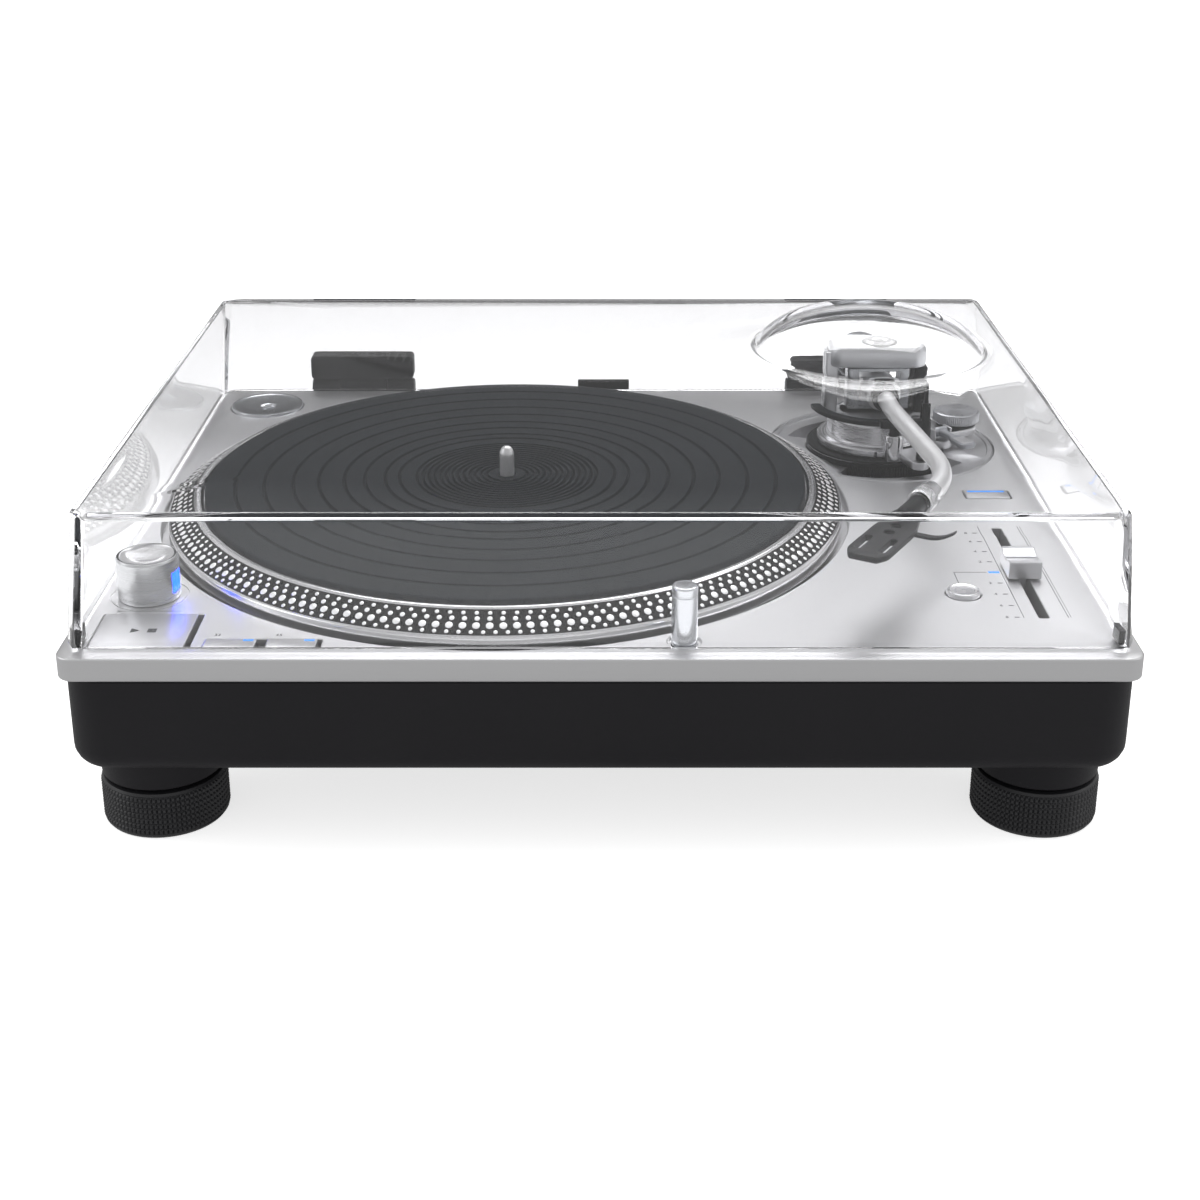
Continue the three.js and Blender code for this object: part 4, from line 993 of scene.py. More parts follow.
    def build_sockets(self) -> None:
        """The back wall's panel, phono sockets, earth post and mains inlet."""
        black = self.finishes.moulding
        low, high = span("terminal_panel")
        panel = stand(plate(rectangle(low[0], low[2], high[0], high[2], 1), 0, high[1] - low[1], 0.2), low[1])
        present("socket_panel", [panel], black, "plinth", ["terminal_panel"])
        for side, shade in (("left", self.finishes.polished), ("right", self.finishes.brass)):
            node = "phono_jack_" + side
            a, b = span(node)
            x, _, z = middle(node)
            length = b[1] - a[1]
            profile = eased([(0, 0), (6.5, 0), (6.5, 3.7), (4.2, 3.7), (4.2, length), (3.4, length),
                             (3.4, 5.0), (0, 5.0)], 0.3)
            pin = eased([(1.7, 4.5), (2.4, 4.5), (2.4, length - 1), (1.7, length - 1)], 0.2, closed=True)
            jack = [rod((x, a[1], z), (x, b[1], z), profile, 48),
                    revolve(pin, steps=32, ring=True).aimed((x, a[1], z), (0, 1, 0))]
            present("phono_socket_" + side, jack, shade, "plinth", [node])
        a, b = span("ground_post")
        x, _, z = middle("ground_post")
        head = revolve(eased([(0, 8), (5, 8), (5, 14), (0, 14)], 0.6), steps=40)
        screw = revolve(bar_profile(2.4, 0, 9), steps=32)
        present("earth_post", [head.aimed((x, a[1], z), (0, 1, 0)), screw.aimed((x, a[1], z), (0, 1, 0))],
                self.finishes.brass, "plinth", ["ground_post"])
        dress("ac_inlet", black)
        dress("pitch_fader_unit", black)


def stand(surface: Surface, y: float) -> Surface:
    """Lays a plate's outline in the XZ plane: a point (a, b, c) goes to (a, y + c, b).

    Args:
        surface: a plate drawn in X and Y.
        y: where its underside goes.

    Returns:
        The plate, its thickness running back from y.
    """
    a, b, c = surface.points.T
    return Surface(np.stack([a, y + c, b], -1), surface.faces)


@dataclass
class Deck:
    """The aluminium deck with its well, recesses, slots and printed marks."""

    finishes: Finishes
    corner: float = 8.0
    edge: float = 0.9
    chamfer: float = 0.5
    well_depth: float = 6.5
    web: float = 3.0
    recess_depth: float = 8.0
    motor_hole: float = 62.0
    tower_hole: float = 10.0
    scale_step: float = 12.3
    figure_size: float = 2.9
    mark_rise: float = 0.05

    def build(self) -> None:
        """Builds the panel, the arm's plate and the marks."""
        self.build_panel()
        self.build_arm_plate()
        self.build_marks()

    def sink(self, radius: float, depth: float, at: Sequence[float], steps: int = 96) -> Surface:
        """A round cutter with a chamfer at the deck's face.

        Args:
            radius: the hole's radius.
            depth: its depth.
            at: X and Y of its middle.
            steps: points around it.

        Returns:
            The cutter.
        """
        lean = self.chamfer
        profile = [(0, DECK_TOP - depth), (radius, DECK_TOP - depth), (radius, DECK_TOP - lean),
                   (radius + lean + 2, DECK_TOP + 2), (0, DECK_TOP + 2)]
        return revolve(profile, at=at, steps=steps)

    def slot(self, outline: np.ndarray, depth: float = 30.0) -> Surface:
        """A cutter of any outline with a chamfer at the deck's face.

        Args:
            outline: the slot's outline, anticlockwise.
            depth: its depth.

        Returns:
            The cutter.
        """
        lean = 0.35
        return slab(outline, [(0, DECK_TOP - depth), (0, DECK_TOP - lean), (-lean - 2, DECK_TOP + 2)])

    def recess_outline(self, clearance: float) -> np.ndarray:
        """The arm recess: a circle cut by another that stays clear of the platter's well.

        The radius at each angle is the smaller of the circle's own and the way to the web.

        Args:
            clearance: how far outside the plate the outline runs.

        Returns:
            The outline, anticlockwise.
        """
        high = span("arm_plate")[1]
        radius = ARM_PLATE_RADIUS + clearance
        centre = np.array([high[0] - ARM_PLATE_RADIUS, high[1] - ARM_PLATE_RADIUS])
        t = np.linspace(0, FULL, 720, endpoint=False)
        ray = np.stack([np.cos(t), np.sin(t)], -1)
        from_spindle = centre - SPINDLE
        web_radius = WELL_RADIUS + self.web + 0.3 - clearance
        toward = ray @ from_spindle
        under = toward**2 - (from_spindle @ from_spindle - web_radius**2)
        hit = np.where((under > 0) & (toward < 0), -toward - np.sqrt(np.maximum(under, 0)), np.inf)
        return centre + np.minimum(radius, hit)[:, None] * ray

    def build_panel(self) -> None:
        """The deck: a plate with eased edges, and everything sunk in it."""
        low, high = span("deck_panel")
        blank = plate(box_outline(low, high, self.corner), low[2], high[2], self.edge, 5)
        adapter = middle("adapter_45")[:2]
        adapter_radius = span("adapter_45")[1][0] - adapter[0]
        cue, tower, reset = middle("cue_light")[:2], middle("strobe_tower")[:2], middle("reset_button")[:2]
        groove = [(16.4, DECK_TOP - 0.35), (17.0, DECK_TOP - 0.35), (17.3, DECK_TOP + 1),
                  (16.1, DECK_TOP + 1)]
        first = [
            self.sink(WELL_RADIUS, self.well_depth, SPINDLE, 240),
            self.slot(self.recess_outline(0.3), self.recess_depth),
            self.sink(adapter_radius + 0.3, 7.0, adapter),
            self.sink(CUE_RADIUS + 1.6, 1.2, cue, 64),
            revolve(groove, at=tower, steps=96, ring=True),
        ]
        second = [
            cylinder(self.motor_hole, 0, FAR, SPINDLE),
            cylinder(self.tower_hole, 0, FAR, tower, 48),
            cylinder(CUE_RADIUS + 0.3, 0, FAR, cue, 64),
            self.sink(8.0, 30, reset, 64),
            self.slot(self.fader_slot()),
        ]
        for first_key, last_key, spare in (
            ("start_stop_button", "start_stop_button", 2.4), ("speed_button_33", "speed_button_45", 2.0),
            ("range_button", "range_button", 0.9),
        ):
            a, b = span(first_key)[0], span(last_key)[1]
            second.append(self.slot(rectangle(a[0] - 0.5, a[1] - 0.5, b[0] + spare, b[1] + 0.5, 1.0)))
        mesh = carved(mesh_of("deck", [blank]), first + second)
        present("deck_plate", mesh, self.finishes.deck, "plinth", ["deck_panel"], crease=25)

    def fader_slot(self) -> np.ndarray:
        """The fader's slot, as long as its channel."""
        x = middle("pitch_fader_unit")[0]
        low, high = span("pitch_fader_unit")
        return rectangle(x - 2.3, low[1] + 10, x + 2.3, high[1] - 10, 1.0)

    def build_arm_plate(self) -> None:
        """The round plate under the arm: a bright bevelled rim, two open notches and a dished scoop."""
        outline = self.recess_outline(0.0)
        low, high = span("arm_plate")
        rim = slab(outline, [(0, low[2]), (0, high[2] - 1.2), (1.2, high[2]), (3.2, high[2]),
                             (3.8, high[2] - 0.7)])
        ring = middle("height_ring")[:2]
        radius = span("height_ring")[1][0] - ring[0]
        centre = high[:2] - ARM_PLATE_RADIUS
        scoop_turn = math.radians(-32)
        scoop = centre + 48 * np.array([math.cos(scoop_turn), math.sin(scoop_turn)])
        # The dish is cut by the lower half of a ball whose middle is over the deck.
        ball = np.linspace(-math.pi / 2, 0, 40)
        dish = np.stack([36 * np.cos(ball), DECK_TOP + 34 + 36 * np.sin(ball)], -1)
        through = [(0, 60), (0, high[2] - 0.5), (-2, high[2] + 1.5)]
        notches = [slab(sector(radius - 3, radius + 12, a, b, ring, 2.5), through)
                   for a, b in ((240, 335), (110, 158))]
        cutters = [
            cylinder(radius + 0.5, 0, FAR, ring, 128), *notches,
            revolve(np.concatenate([dish, [(0, DECK_TOP + 34)]]), at=scoop, steps=128),
        ]
        mesh = carved(mesh_of("arm_base_plate", [rim]), cutters)
        present("arm_base_plate", mesh, self.finishes.button, "plinth", ["arm_plate"],
                crease=20)

    def build_marks(self) -> None:
        """The fader's scale, the framing lines, the line to the reset key and the generic figures."""
        x = middle("pitch_fader_unit")[0]
        low, high = span("pitch_fader_unit")
        y0, y1 = low[1] + 10.5, high[1] - 8
        zero = fader_zero()
        steps = [(i, zero + i * self.scale_step) for i in range(-4, 5) if i]
        z0, z1 = DECK_TOP - 0.05, DECK_TOP + self.mark_rise
        ticks = [(x - 12.8, y - 0.35, x - 10.6, y + 0.35) for _, y in steps]
        frame_lines = [(x - 8.9, y0, x - 8.6, y1), (x + 10.4, y0, x + 10.7, y1), (x + 11.6, y0, x + 11.8, y1)]
        reset = middle("reset_button")
        lead = [(reset[0] - 0.15, reset[1] + 10, reset[0] + 0.15, zero + 0.15),
                (reset[0] + 0.16, zero - 0.15, x - 15.5, zero + 0.15)]
        button_low, button_high = span("start_stop_button")
        seam = [(button_low[0] + 4, button_high[1] + 3.5, button_low[0] + 32, button_high[1] + 3.7)]
        present("deck_marks", [bars(ticks + frame_lines + lead + seam, z0, z1)], self.finishes.ink,
                "plinth")
        numbers = [(str(2 * abs(i)), x - 16, y) for i, y in steps]
        for node, text in (("speed_button_33", "33"), ("speed_button_45", "45")):
            a, b = span(node)
            numbers.append((text, a[0] + 4.2, b[1] + 4.2))
        for i, (text, at_x, at_y) in enumerate(numbers):
            figure(f"scale_figure_{i}", text, (at_x, at_y), self.figure_size, self.finishes.ink)
        strip = [(x - 14.6, zero - 0.9, x - 9.6, zero + 0.9)]
        present("pitch_centre_light", [bars(strip, z0, z1)], self.finishes.blue_mark, "plinth")


def fader_zero() -> float:
    """The fader knob's middle along Y, where its scale reads zero."""
    return float(middle("pitch_fader")[1])


def figure(name: str, text: str, at: Sequence[float], size: float, material: bpy.types.Material) -> None:
    """A printed figure, flat on the deck.

    Args:
        name: the piece's name.
        text: the figure.
        at: X and Y of its middle.
        size: height in millimetres.
        material: the ink.
    """
    curve = bpy.data.curves.new(name, "FONT")
    curve.body = text
    curve.align_x, curve.align_y = "CENTER", "CENTER"
    curve.size = size * MM
    curve.extrude = 0.03 * MM
    shape = bpy.data.objects.new(name, curve)
    bpy.context.scene.collection.objects.link(shape)
    mesh = bpy.data.meshes.new_from_object(shape.evaluated_get(bpy.context.evaluated_depsgraph_get()))
    bpy.data.objects.remove(shape)
    mesh.transform(Matrix.Translation((at[0] * MM, at[1] * MM, over_deck(0.02) * MM)))
    closed_up(mesh, slivers=True)
    present(name, mesh, material, "plinth")


# ---------------------------------------------------------------- platter


@dataclass
class Platter:
    """The platter with its dotted rim, rubber mat and spindle."""

    finishes: Finishes
    bevel: float = 14.0
    # Each row of dots: its place up the black band, a dot's radius, and how many go round.
    dot_rows: tuple = ((0.12, 1.0, 198), (0.37, 1.75, 176), (0.64, 1.2, 184), (0.86, 1.0, 172))
    dot_steps: int = 10
    dot_rise: float = 0.42
    groove_depth: float = 1.3

    def build(self) -> None:
        """Builds the platter, its dots, the mat and the spindle."""
        low, high = span("platter")
        radius = PLATTER_RADIUS
        lip, lip_radius = high[2], radius - self.bevel
        shoulder = DECK_TOP + 4.5
        body = eased(
            [(4, lip - 1.8), (149, lip - 1.8), (150, lip), (lip_radius, lip), (radius - 0.6, shoulder),
             (radius, shoulder - 0.6), (radius, low[2] + 1.5), (radius - 7, low[2] + 1.5),
             (radius - 12, lip - 9.8),
             (18, lip - 9.8), (18, low[2] + 3.2), (4, low[2] + 3.2)],
            0.5, closed=True, steps=4,
        )
        silver = turned_metal("spun_platter_aluminium", "#DFDFE0", 0.2, SPINDLE, 0.5)
        present("platter_casting", [revolve(body, at=SPINDLE, steps=360, ring=True)], silver,
                "platter", ["platter"])
        self.build_rim(lip, lip_radius, shoulder)
        self.build_mat()
        tip = span("spindle")
        spindle_radius = (tip[1][0] - tip[0][0]) / 2
        profile = eased([(0, tip[0][2]), (spindle_radius, tip[0][2]), (spindle_radius, tip[1][2] - 3.2),
                         (spindle_radius - 1.4, tip[1][2] - 0.5), (0, tip[1][2])], [0, 0.3, 1.2, 1.2, 0],
                         steps=8)
        present("spindle_pin", [revolve(profile, at=SPINDLE, steps=64)], self.finishes.tube,
                "platter", ["spindle"])
        dress("rotor_magnet", self.finishes.black_metal)
        dress("motor_stator", self.finishes.copper)
        dress("spindle_bearing", self.finishes.brass)

    def build_rim(self, lip: float, lip_radius: float, shoulder: float) -> None:
        """The rim's black band and its dots.

        A dot is a low dome of a few rings that lies on the bevel. Its point is foot + a * slope +
        c * normal in radius and height, and b along the rim.

        Args:
            lip: height of the bevel's upper edge.
            lip_radius: radius of that edge.
            shoulder: height of the bevel's lower edge.
        """
        foot_of_bevel, head_of_bevel = np.array([PLATTER_RADIUS - 0.6, shoulder]), np.array([lip_radius, lip])
        start = foot_of_bevel + 0.05 * (head_of_bevel - foot_of_bevel)
        end = foot_of_bevel + 0.9 * (head_of_bevel - foot_of_bevel)
        slope = end - start
        length = np.linalg.norm(slope)
        slope /= length
        normal = np.array([slope[1], -slope[0]])
        edge = [start - normal * 0.2, end - normal * 0.2, end + normal * 0.12, start + normal * 0.12]
        band = revolve(np.array(edge), at=SPINDLE, steps=360, ring=True)
        present("rim_band", [band], self.finishes.black_gloss, "platter")
        around = np.linspace(0, FULL, self.dot_steps, endpoint=False)
        # Each ring's share of the dot's radius and of its height.
        rings = np.array([[1.0, -0.15], [0.92, 0.4], [0.5, 0.6], [0.0, 0.65]])
        surfaces = []
        for share, dot_radius, count in self.dot_rows:
            t = np.linspace(0, FULL, count, endpoint=False)
            foot = start + slope * length * share + normal * 0.1
            # Offsets of the dome's points: a along the slope, b around the rim, c square to the bevel.
            a = dot_radius * rings[:, :1] * np.cos(around)
            b = dot_radius * rings[:, :1] * np.sin(around)
            c = np.repeat(self.dot_rise * rings[:, 1:], len(around), 1)
            radial = foot[0] + a * slope[0] + c * normal[0]
            height = foot[1] + a * slope[1] + c * normal[1]
            cos, sin = np.cos(t)[:, None, None], np.sin(t)[:, None, None]
            x = SPINDLE[0] + radial * cos - b * sin
            y = SPINDLE[1] + radial * sin + b * cos
            points = np.stack([x, y, np.broadcast_to(height, x.shape)], -1)
            quads = np.array(skin(points[0]).faces[: (len(rings) - 1) * self.dot_steps])
            first_point = len(rings) * self.dot_steps * np.arange(count)[:, None]
            domes = (quads[None] + first_point[:, :, None]).reshape(-1, 4).tolist()
            undersides = (np.arange(self.dot_steps)[::-1][None] + first_point).tolist()
            surfaces.append(Surface(points.reshape(-1, 3), domes + undersides))
        present("rim_dots", surfaces, self.finishes.dot, "platter", crease=60)

    def build_mat(self) -> None:
        """The mat: a turned profile whose grooves crowd together near the middle.

        A groove is a notch of depth d * max(0, 1 - ((r - r0) / half)^2) in the mat's flat top.
        """
        low, high = span("platter_mat")
        outer = high[0] - SPINDLE[0]
        top = high[2]
        r = np.linspace(outer - 1.0, 5.0, 1400)
        close = np.arange(10.0, 47.0, 2.9)
        wide = np.array([53.5, 60.5, 70.5, 80.5, 93.0, 105.5, 119.5, 133.5])
        centres = np.concatenate([close, wide])
        half = np.concatenate([np.full(len(close), 0.8), np.full(len(wide), 1.0)])
        notch = np.clip(1 - ((r[:, None] - centres) / half) ** 2, 0, None).max(1)
        z = top - self.groove_depth * notch
        lip = [(outer, low[2]), (outer, top - 0.9), (outer - 0.3, top - 0.3)]
        profile = np.concatenate([[(4.2, low[2])], lip, np.stack([r, z], -1), [(4.2, top - 0.3)]])
        mat = revolve(profile, at=SPINDLE, steps=180, ring=True)
        present("rubber_mat", [mat], self.finishes.mat, "platter", ["platter_mat"], crease=50)


# ---------------------------------------------------------------- controls


@dataclass
class Controls:
    """The strobe tower and its dial, the keys, the pitch fader, the cue light and the 45 adapter."""

    finishes: Finishes

    def build(self) -> None:
        """Builds every control."""
        self.build_tower()
        self.build_keys()
        self.build_fader()
        self.build_cue_light()
        self.build_adapter()

    def build_tower(self) -> None:
        """The strobe tower with its lit window."""
        low, high = span("strobe_tower")
        at = middle("power_dial")[:2]
        radius = at[0] - low[0]
        top = high[2]
        silver = turned_metal("turned_tower_aluminium", "#CDCECF", 0.3, at, 0.4)
        bore, rim = 3.4, radius - 0.75
        profile = eased([(bore, over_deck(0.05)), (radius - 0.4, over_deck(0.05)), (radius, over_deck(0.6)),
                         (radius, top - 1), (radius - 0.5, top), (rim, top), (rim, top - 5), (bore, top - 5)],
                        [0.1, 0.2, 0.4, 0.3, 0.1, 0.1, 0.3, 0.1], closed=True)
        turn = math.atan2(*(middle("strobe_lens")[:2] - at)[::-1])
        window = plate(rectangle(radius - 5, -3.8, radius + 6, 3.8, 0.3), DECK_TOP + 3.7, DECK_TOP + 13.3,
                       0.05)
        place = (at[0], at[1], 0)
        cutter = window.turned(math.degrees(turn)).moved(place)
        mesh = carved(mesh_of("tower", [revolve(profile, at=at, steps=128, ring=True)]), [cutter])
        present("strobe_housing", mesh, silver, "plinth", ["strobe_tower"])
        lens = plate(rectangle(radius - 4, -3.5, radius - 0.2, 3.5, 0.6), DECK_TOP + 4, DECK_TOP + 13, 0.3)
        present("strobe_window", [lens.turned(math.degrees(turn)).moved(place)], self.finishes.blue_lamp,
                "plinth", ["strobe_lens"])
        self.build_dial(at, top)

    def build_dial(self, at: Sequence[float], top: float) -> None:
        """The power dial: a serrated rim and a crown dished as the square of the radius.

        Args:
            at: X and Y of its axis.
            top: height of the tower's rim.
        """
        dial_low, dial_high = span("power_dial")
        rim = dial_high[0] - at[0]
        crown = dial_high[2]
        rows = [(0, dial_low[2]), (3, dial_low[2]), (3, top - 4.6), (rim - 0.2, top - 4.6), (rim, top - 4),
                (rim, crown - 0.9), (rim - 0.4, crown - 0.3), (rim - 1.0, crown), (rim - 2.9, crown),
                (rim - 3.0, crown - 0.9)]
        depth = [0, 0, 0, 0, 0.5, 0.7, 0.6, 0, 0, 0]
        drop = [0, 0, 0, 0, 0, 0, 0.7, 0.9, 0.85, 0]
        dish = [(r, crown - 0.9 - 0.7 * (1 - (r / (rim - 3.2)) ** 2)) for r in np.linspace(rim - 3.2, 0, 16)]
        flat = [0] * len(dish)
        knob = fluted(rows + dish, depth + flat, 56, at, drop=drop + flat)
        polish = turned_metal("turned_dial_aluminium", "#DFDFE0", 0.2, at, 0.4)
        present("power_knob", [knob], polish, "power", ["power_dial"])

    def build_keys(self) -> None:
        """The square keys, with eased tops, and the round reset key, turned in one piece."""
        bodies = {"start_stop_button": "start_stop", "speed_button_33": "speed_33",
                  "speed_button_45": "speed_45",
                  "range_button": "range"}
        for node, body in bodies.items():
            a, b = span(node)
            key = [plate(box_outline(a, b, 1.0), DECK_LOW - 3, b[2], 0.45)]
            x, y = middle(node)[:2]
            key.append(plate(rectangle(x - 2, y - 2, x + 2, y + 2, 0.3), a[2], DECK_LOW - 2.5, 0.1))
            present(node.replace("button", "key"), key, self.finishes.button, body, [node])
            if node != "start_stop_button":
                strip = [(b[0] - 5.5, b[1] - 2.6, b[0] - 1.2, b[1] - 1.2)]
                if node == "range_button":
                    strip = [(a[0] + 1.6, b[1] - 3.2, b[0] - 1.6, b[1] - 1.4)]
                present(node.replace("button", "key") + "_light", [bars(strip, b[2] - 0.2, b[2] + 0.06)],
                        self.finishes.blue_mark, body)
        a, b = span("start_stop_button")
        x, y = middle("start_stop_button")[:2]
        triangle = slab(eased([(x - 5.5, y - 2.2), (x - 1.7, y), (x - 5.5, y + 2.2)], 0.15, closed=True),
                        [(0, b[2] - 0.1), (0, b[2] + 0.05)])
        square = bars([(x + 1.7, y - 1.9, x + 5.5, y + 1.9)], b[2] - 0.1, b[2] + 0.05)
        present("start_stop_marks", [triangle, square], self.finishes.ink, "start_stop")
        at = middle("reset_button")[:2]
        a, b = span("reset_button")
        radius = (b[0] - a[0]) / 2
        profile = eased([(0, a[2]), (2, a[2]), (2, DECK_LOW - 2), (radius, DECK_LOW - 2),
                         (radius, b[2] - 0.6),
                         (radius - 0.9, b[2]), (radius - 1.8, b[2] - 0.3), (0, b[2] - 1.1)],
                         [0, 0, 0, 0.3, 0.5, 0.4, 0.8, 0],
                        steps=6)
        silver = turned_metal("turned_key_aluminium", "#D8D8DA", 0.26, at, 0.35)
        present("reset_key", [revolve(profile, at=at, steps=96)], silver, "reset",
                ["reset_button"])

    def build_fader(self) -> None:
        """The fader's knob: a satin block with a hollow of 14 mm radius along its top, over a stem."""
        a, b = span("pitch_fader")
        x, y = middle("pitch_fader")[0], fader_zero()
        base = DECK_TOP + 0.8
        across = np.linspace(-1, 1, 49)
        length = (b[1] - a[1]) / 2
        hollow = np.sqrt(np.maximum(14**2 - (across * length) ** 2, 0))
        top = np.minimum(b[2], b[2] + 12.2 - hollow)
        width = (b[0] - a[0]) / 2
        side = np.array([[-width, 0.0], [-width, 1.0], [width, 1.0], [width, 0.0]])
        rows = np.stack([
            np.repeat(x + side[None, :, 0], len(across), 0),
            np.repeat(y + (across * length)[:, None], len(side), 1),
            base + side[None, :, 1] * (top - base)[:, None],
        ], -1)
        knob = skin(rows)
        stem = plate(rectangle(x - 1.6, y - 6, x + 1.6, y, 0.3), a[2], base + 1, 0.05)
        piece = present("fader_knob", [knob, stem], self.finishes.button, "fader",
                        ["pitch_fader"])
        soften(piece, 0.5, 3, 50)
        line = [(x - width + 0.6, y - 0.35, x + width - 0.6, y + 0.35)]
        low = float(top[len(top) // 2])
        present("fader_line", [bars(line, low - 0.3, low + 0.05)], self.finishes.ink, "fader")

    def build_cue_light(self) -> None:
        """The pop-up light over the record: a plain bright cylinder with a ring near its head."""
        at = middle("cue_light")[:2]
        a, b = span("cue_light")
        profile = eased([(0, a[2]), (CUE_RADIUS, a[2]), (CUE_RADIUS, b[2] - 4.6),
                         (CUE_RADIUS - 0.35, b[2] - 4.4),
                         (CUE_RADIUS - 0.35, b[2] - 3.9), (CUE_RADIUS, b[2] - 3.7), (CUE_RADIUS, b[2]),
                         (0, b[2])],
                        [0, 0.3, 0.1, 0.1, 0.1, 0.1, 0.9, 0])
        silver = turned_metal("turned_lamp_aluminium", "#DCDEE1", 0.22, at, 0.4)
        present("target_light", [revolve(profile, at=at, steps=96)], silver, "cue_light",
                ["cue_light"])

    def build_adapter(self) -> None:
        """The 45 adapter: a thick spun disc, dished towards its centre hole."""
        at = middle("adapter_45")[:2]
        a, b = span("adapter_45")
        radius = b[0] - at[0]
        dish = [(r,
                 b[2] - 0.2 - 1.3 * (1 - ((r - 4) / (radius - 6)) ** 2)) for r in np.linspace(radius - 2.2,
                     6, 14)]
        profile = [(3.9, a[2]), (radius - 2, a[2]), (radius, a[2] + 2), (radius, b[2] - 0.8),
                   (radius - 0.3, b[2] - 0.2), (radius - 1.0, b[2]), (radius - 2.0, b[2] - 0.1), *dish,
                   (5.2, b[2] - 1.7), (4.4, b[2] - 2.2), (3.9, b[2] - 3)]
        silver = turned_metal("spun_adapter_aluminium", "#D5D7DA", 0.2, at, 0.5)
        present("record_adapter", [revolve(profile, at=at, steps=128, ring=True)], silver, "adapter",
                ["adapter_45"])


# ---------------------------------------------------------------- cover and hinges


@dataclass
class Cover:
    """The clear dust cover: a drafted box with a low round dome over the arm, and its small fittings."""

    finishes: Finishes
    wall: float = 3.0
    corner: float = 6.0
    top_edge: float = 2.6
    side_draft: float = 5.3
    end_draft: float = 4.0
    # The dome's middle is over the highest part of the arm, set back from the cover's right side.
    dome_at: tuple = (141.7, 66.49)
    dome_radius: float = 61.6
    dome_rise: float = 19.0
    leaf_back: float = 184.0
    steps: int = 360

    def __post_init__(self) -> None:
        """Reads the cover's box."""
        self.low, self.high = span("dust_cover")
        self.roof = self.high[2] - self.dome_rise

    def build(self) -> None:
        """Builds the shell, its bumpers and badge plate, and the hinges."""
        self.build_shell()
        self.build_fittings()
        self.build_hinges()

    def ring_at(self, inset: float, z: float) -> np.ndarray:
        """The drafted box's outline at a height, read at even angles about the dome's middle.

        Args:
            inset: distance in from the outer face.
            z: height.

        Returns:
            The ring's points.
        """
        low, high = self.low, self.high
        share = (z - low[2]) / (self.roof - low[2])
        side, end = self.side_draft * share + inset, self.end_draft * share + inset
        x0, x1 = low[0] + side, high[0] - side
        y0, y1 = low[1] + end, high[1] - end
        radius = max(self.corner - inset, 1.0)
        angle = np.linspace(0, FULL, self.steps, endpoint=False)
        ray = np.stack([np.cos(angle), np.sin(angle)], -1)
        # Signed distance to a round-cornered rectangle, and a march along each ray to where it is zero.
        centre = np.array([(x0 + x1) / 2, (y0 + y1) / 2])
        half = np.array([(x1 - x0) / 2, (y1 - y0) / 2]) - radius
        reach = np.zeros(self.steps)
        for _ in range(80):
            q = np.abs(self.dome_at + reach[:, None] * ray - centre) - half
            distance = np.linalg.norm(np.maximum(q, 0), axis=1) + np.minimum(q.max(1), 0) - radius
            reach -= distance
        flat = self.dome_at + reach[:, None] * ray
        return np.concatenate([flat, np.full((self.steps, 1), z)], -1)

    def dome_rings(self, radius: float, base: float, rise: float) -> list[np.ndarray]:
        """Rings over the dome: z = base + rise (1 - (r / R)^4), run out flat by a small fillet.

        Args:
            radius: the dome's radius.
            base: height of the flat roof around it.
            rise: height of its crown over the roof.

        Returns:
            The rings, from the roof up to the crown.
        """
        angle = np.linspace(0, FULL, self.steps, endpoint=False)
        rings = []
        for share in np.concatenate([[1.06, 1.03, 1.012], np.linspace(1.0, 0.0, 28) ** 0.8]):
            r = radius * share
            fall = np.clip(share, 0, 1)
            z = base + rise * (1 - fall**4)
            if 1.0 <= share < 1.06:
                z += 0.5 * (1.06 - share) / 0.06
            if share < 1.0:
                z = max(z, base + 0.5)
            rings.append(np.stack([
                self.dome_at[0] + r * np.cos(angle), self.dome_at[1] + r * np.sin(angle),
                np.full(self.steps, z),
            ], -1))
        return rings

    def build_shell(self) -> None:
        """The shell as one closed skin: down the outside, under the lip and up the inside."""
        low, roof = self.low, self.roof
        ease = np.linspace(0, math.pi / 2, 6)
        outer = []
        for z in np.linspace(low[2] + 0.4, roof - self.top_edge, 10):
            outer.append(self.ring_at(0.0, z))
        for t in ease[1:]:
            outer.append(self.ring_at(self.top_edge * (1 - math.cos(t)),
                                      roof - self.top_edge * (1 - math.sin(t))))
        flat = np.linspace(0, 1, 6)[1:-1]
        last = outer[-1]
        start = self.dome_rings(self.dome_radius, roof, self.dome_rise)
        outer += [last + (start[0] - last) * s for s in flat]
        outer += start
        inner_roof = roof - self.wall
        inner = []
        for z in np.linspace(low[2], inner_roof - 1.2, 10):
            inner.append(self.ring_at(self.wall, z))
        for t in ease[1:]:
            inner.append(self.ring_at(self.wall + 1.2 * (1 - math.cos(t)),
                                      inner_roof - 1.2 * (1 - math.sin(t))))
        last = inner[-1]
        start = self.dome_rings(self.dome_radius - self.wall, inner_roof, self.dome_rise)
        inner += [last + (start[0] - last) * s for s in flat]
        inner += start
        rows = inner[::-1] + [self.ring_at(0.5, low[2])] + outer
        present("clear_cover", [skin(np.array(rows))], self.finishes.acrylic, "cover",
                ["dust_cover"], crease=40)

    def build_fittings(self) -> None:
        """Two rubber bumpers at the front corners and a blank badge plate on the back wall."""
        low, high = self.low, self.high
        bumpers = []
        for x0 in (low[0] + self.wall + 1.2, high[0] - self.wall - 3.8):
            bumpers.append(plate(rectangle(x0, low[1] + 5, x0 + 2.6, low[1] + 14, 0.8), low[2] + 0.1,
                                 low[2] + 6.5, 0.4))
        present("cover_bumpers", bumpers, self.finishes.moulding, "cover")
        back = high[1] - self.wall - 1.5
        badge = stand(plate(rectangle(-13, DECK_TOP + 2, 17, DECK_TOP + 8, 0.6), 0, 0.8, 0.15), back)
        present("badge_plate", [badge], self.finishes.black_metal, "cover")

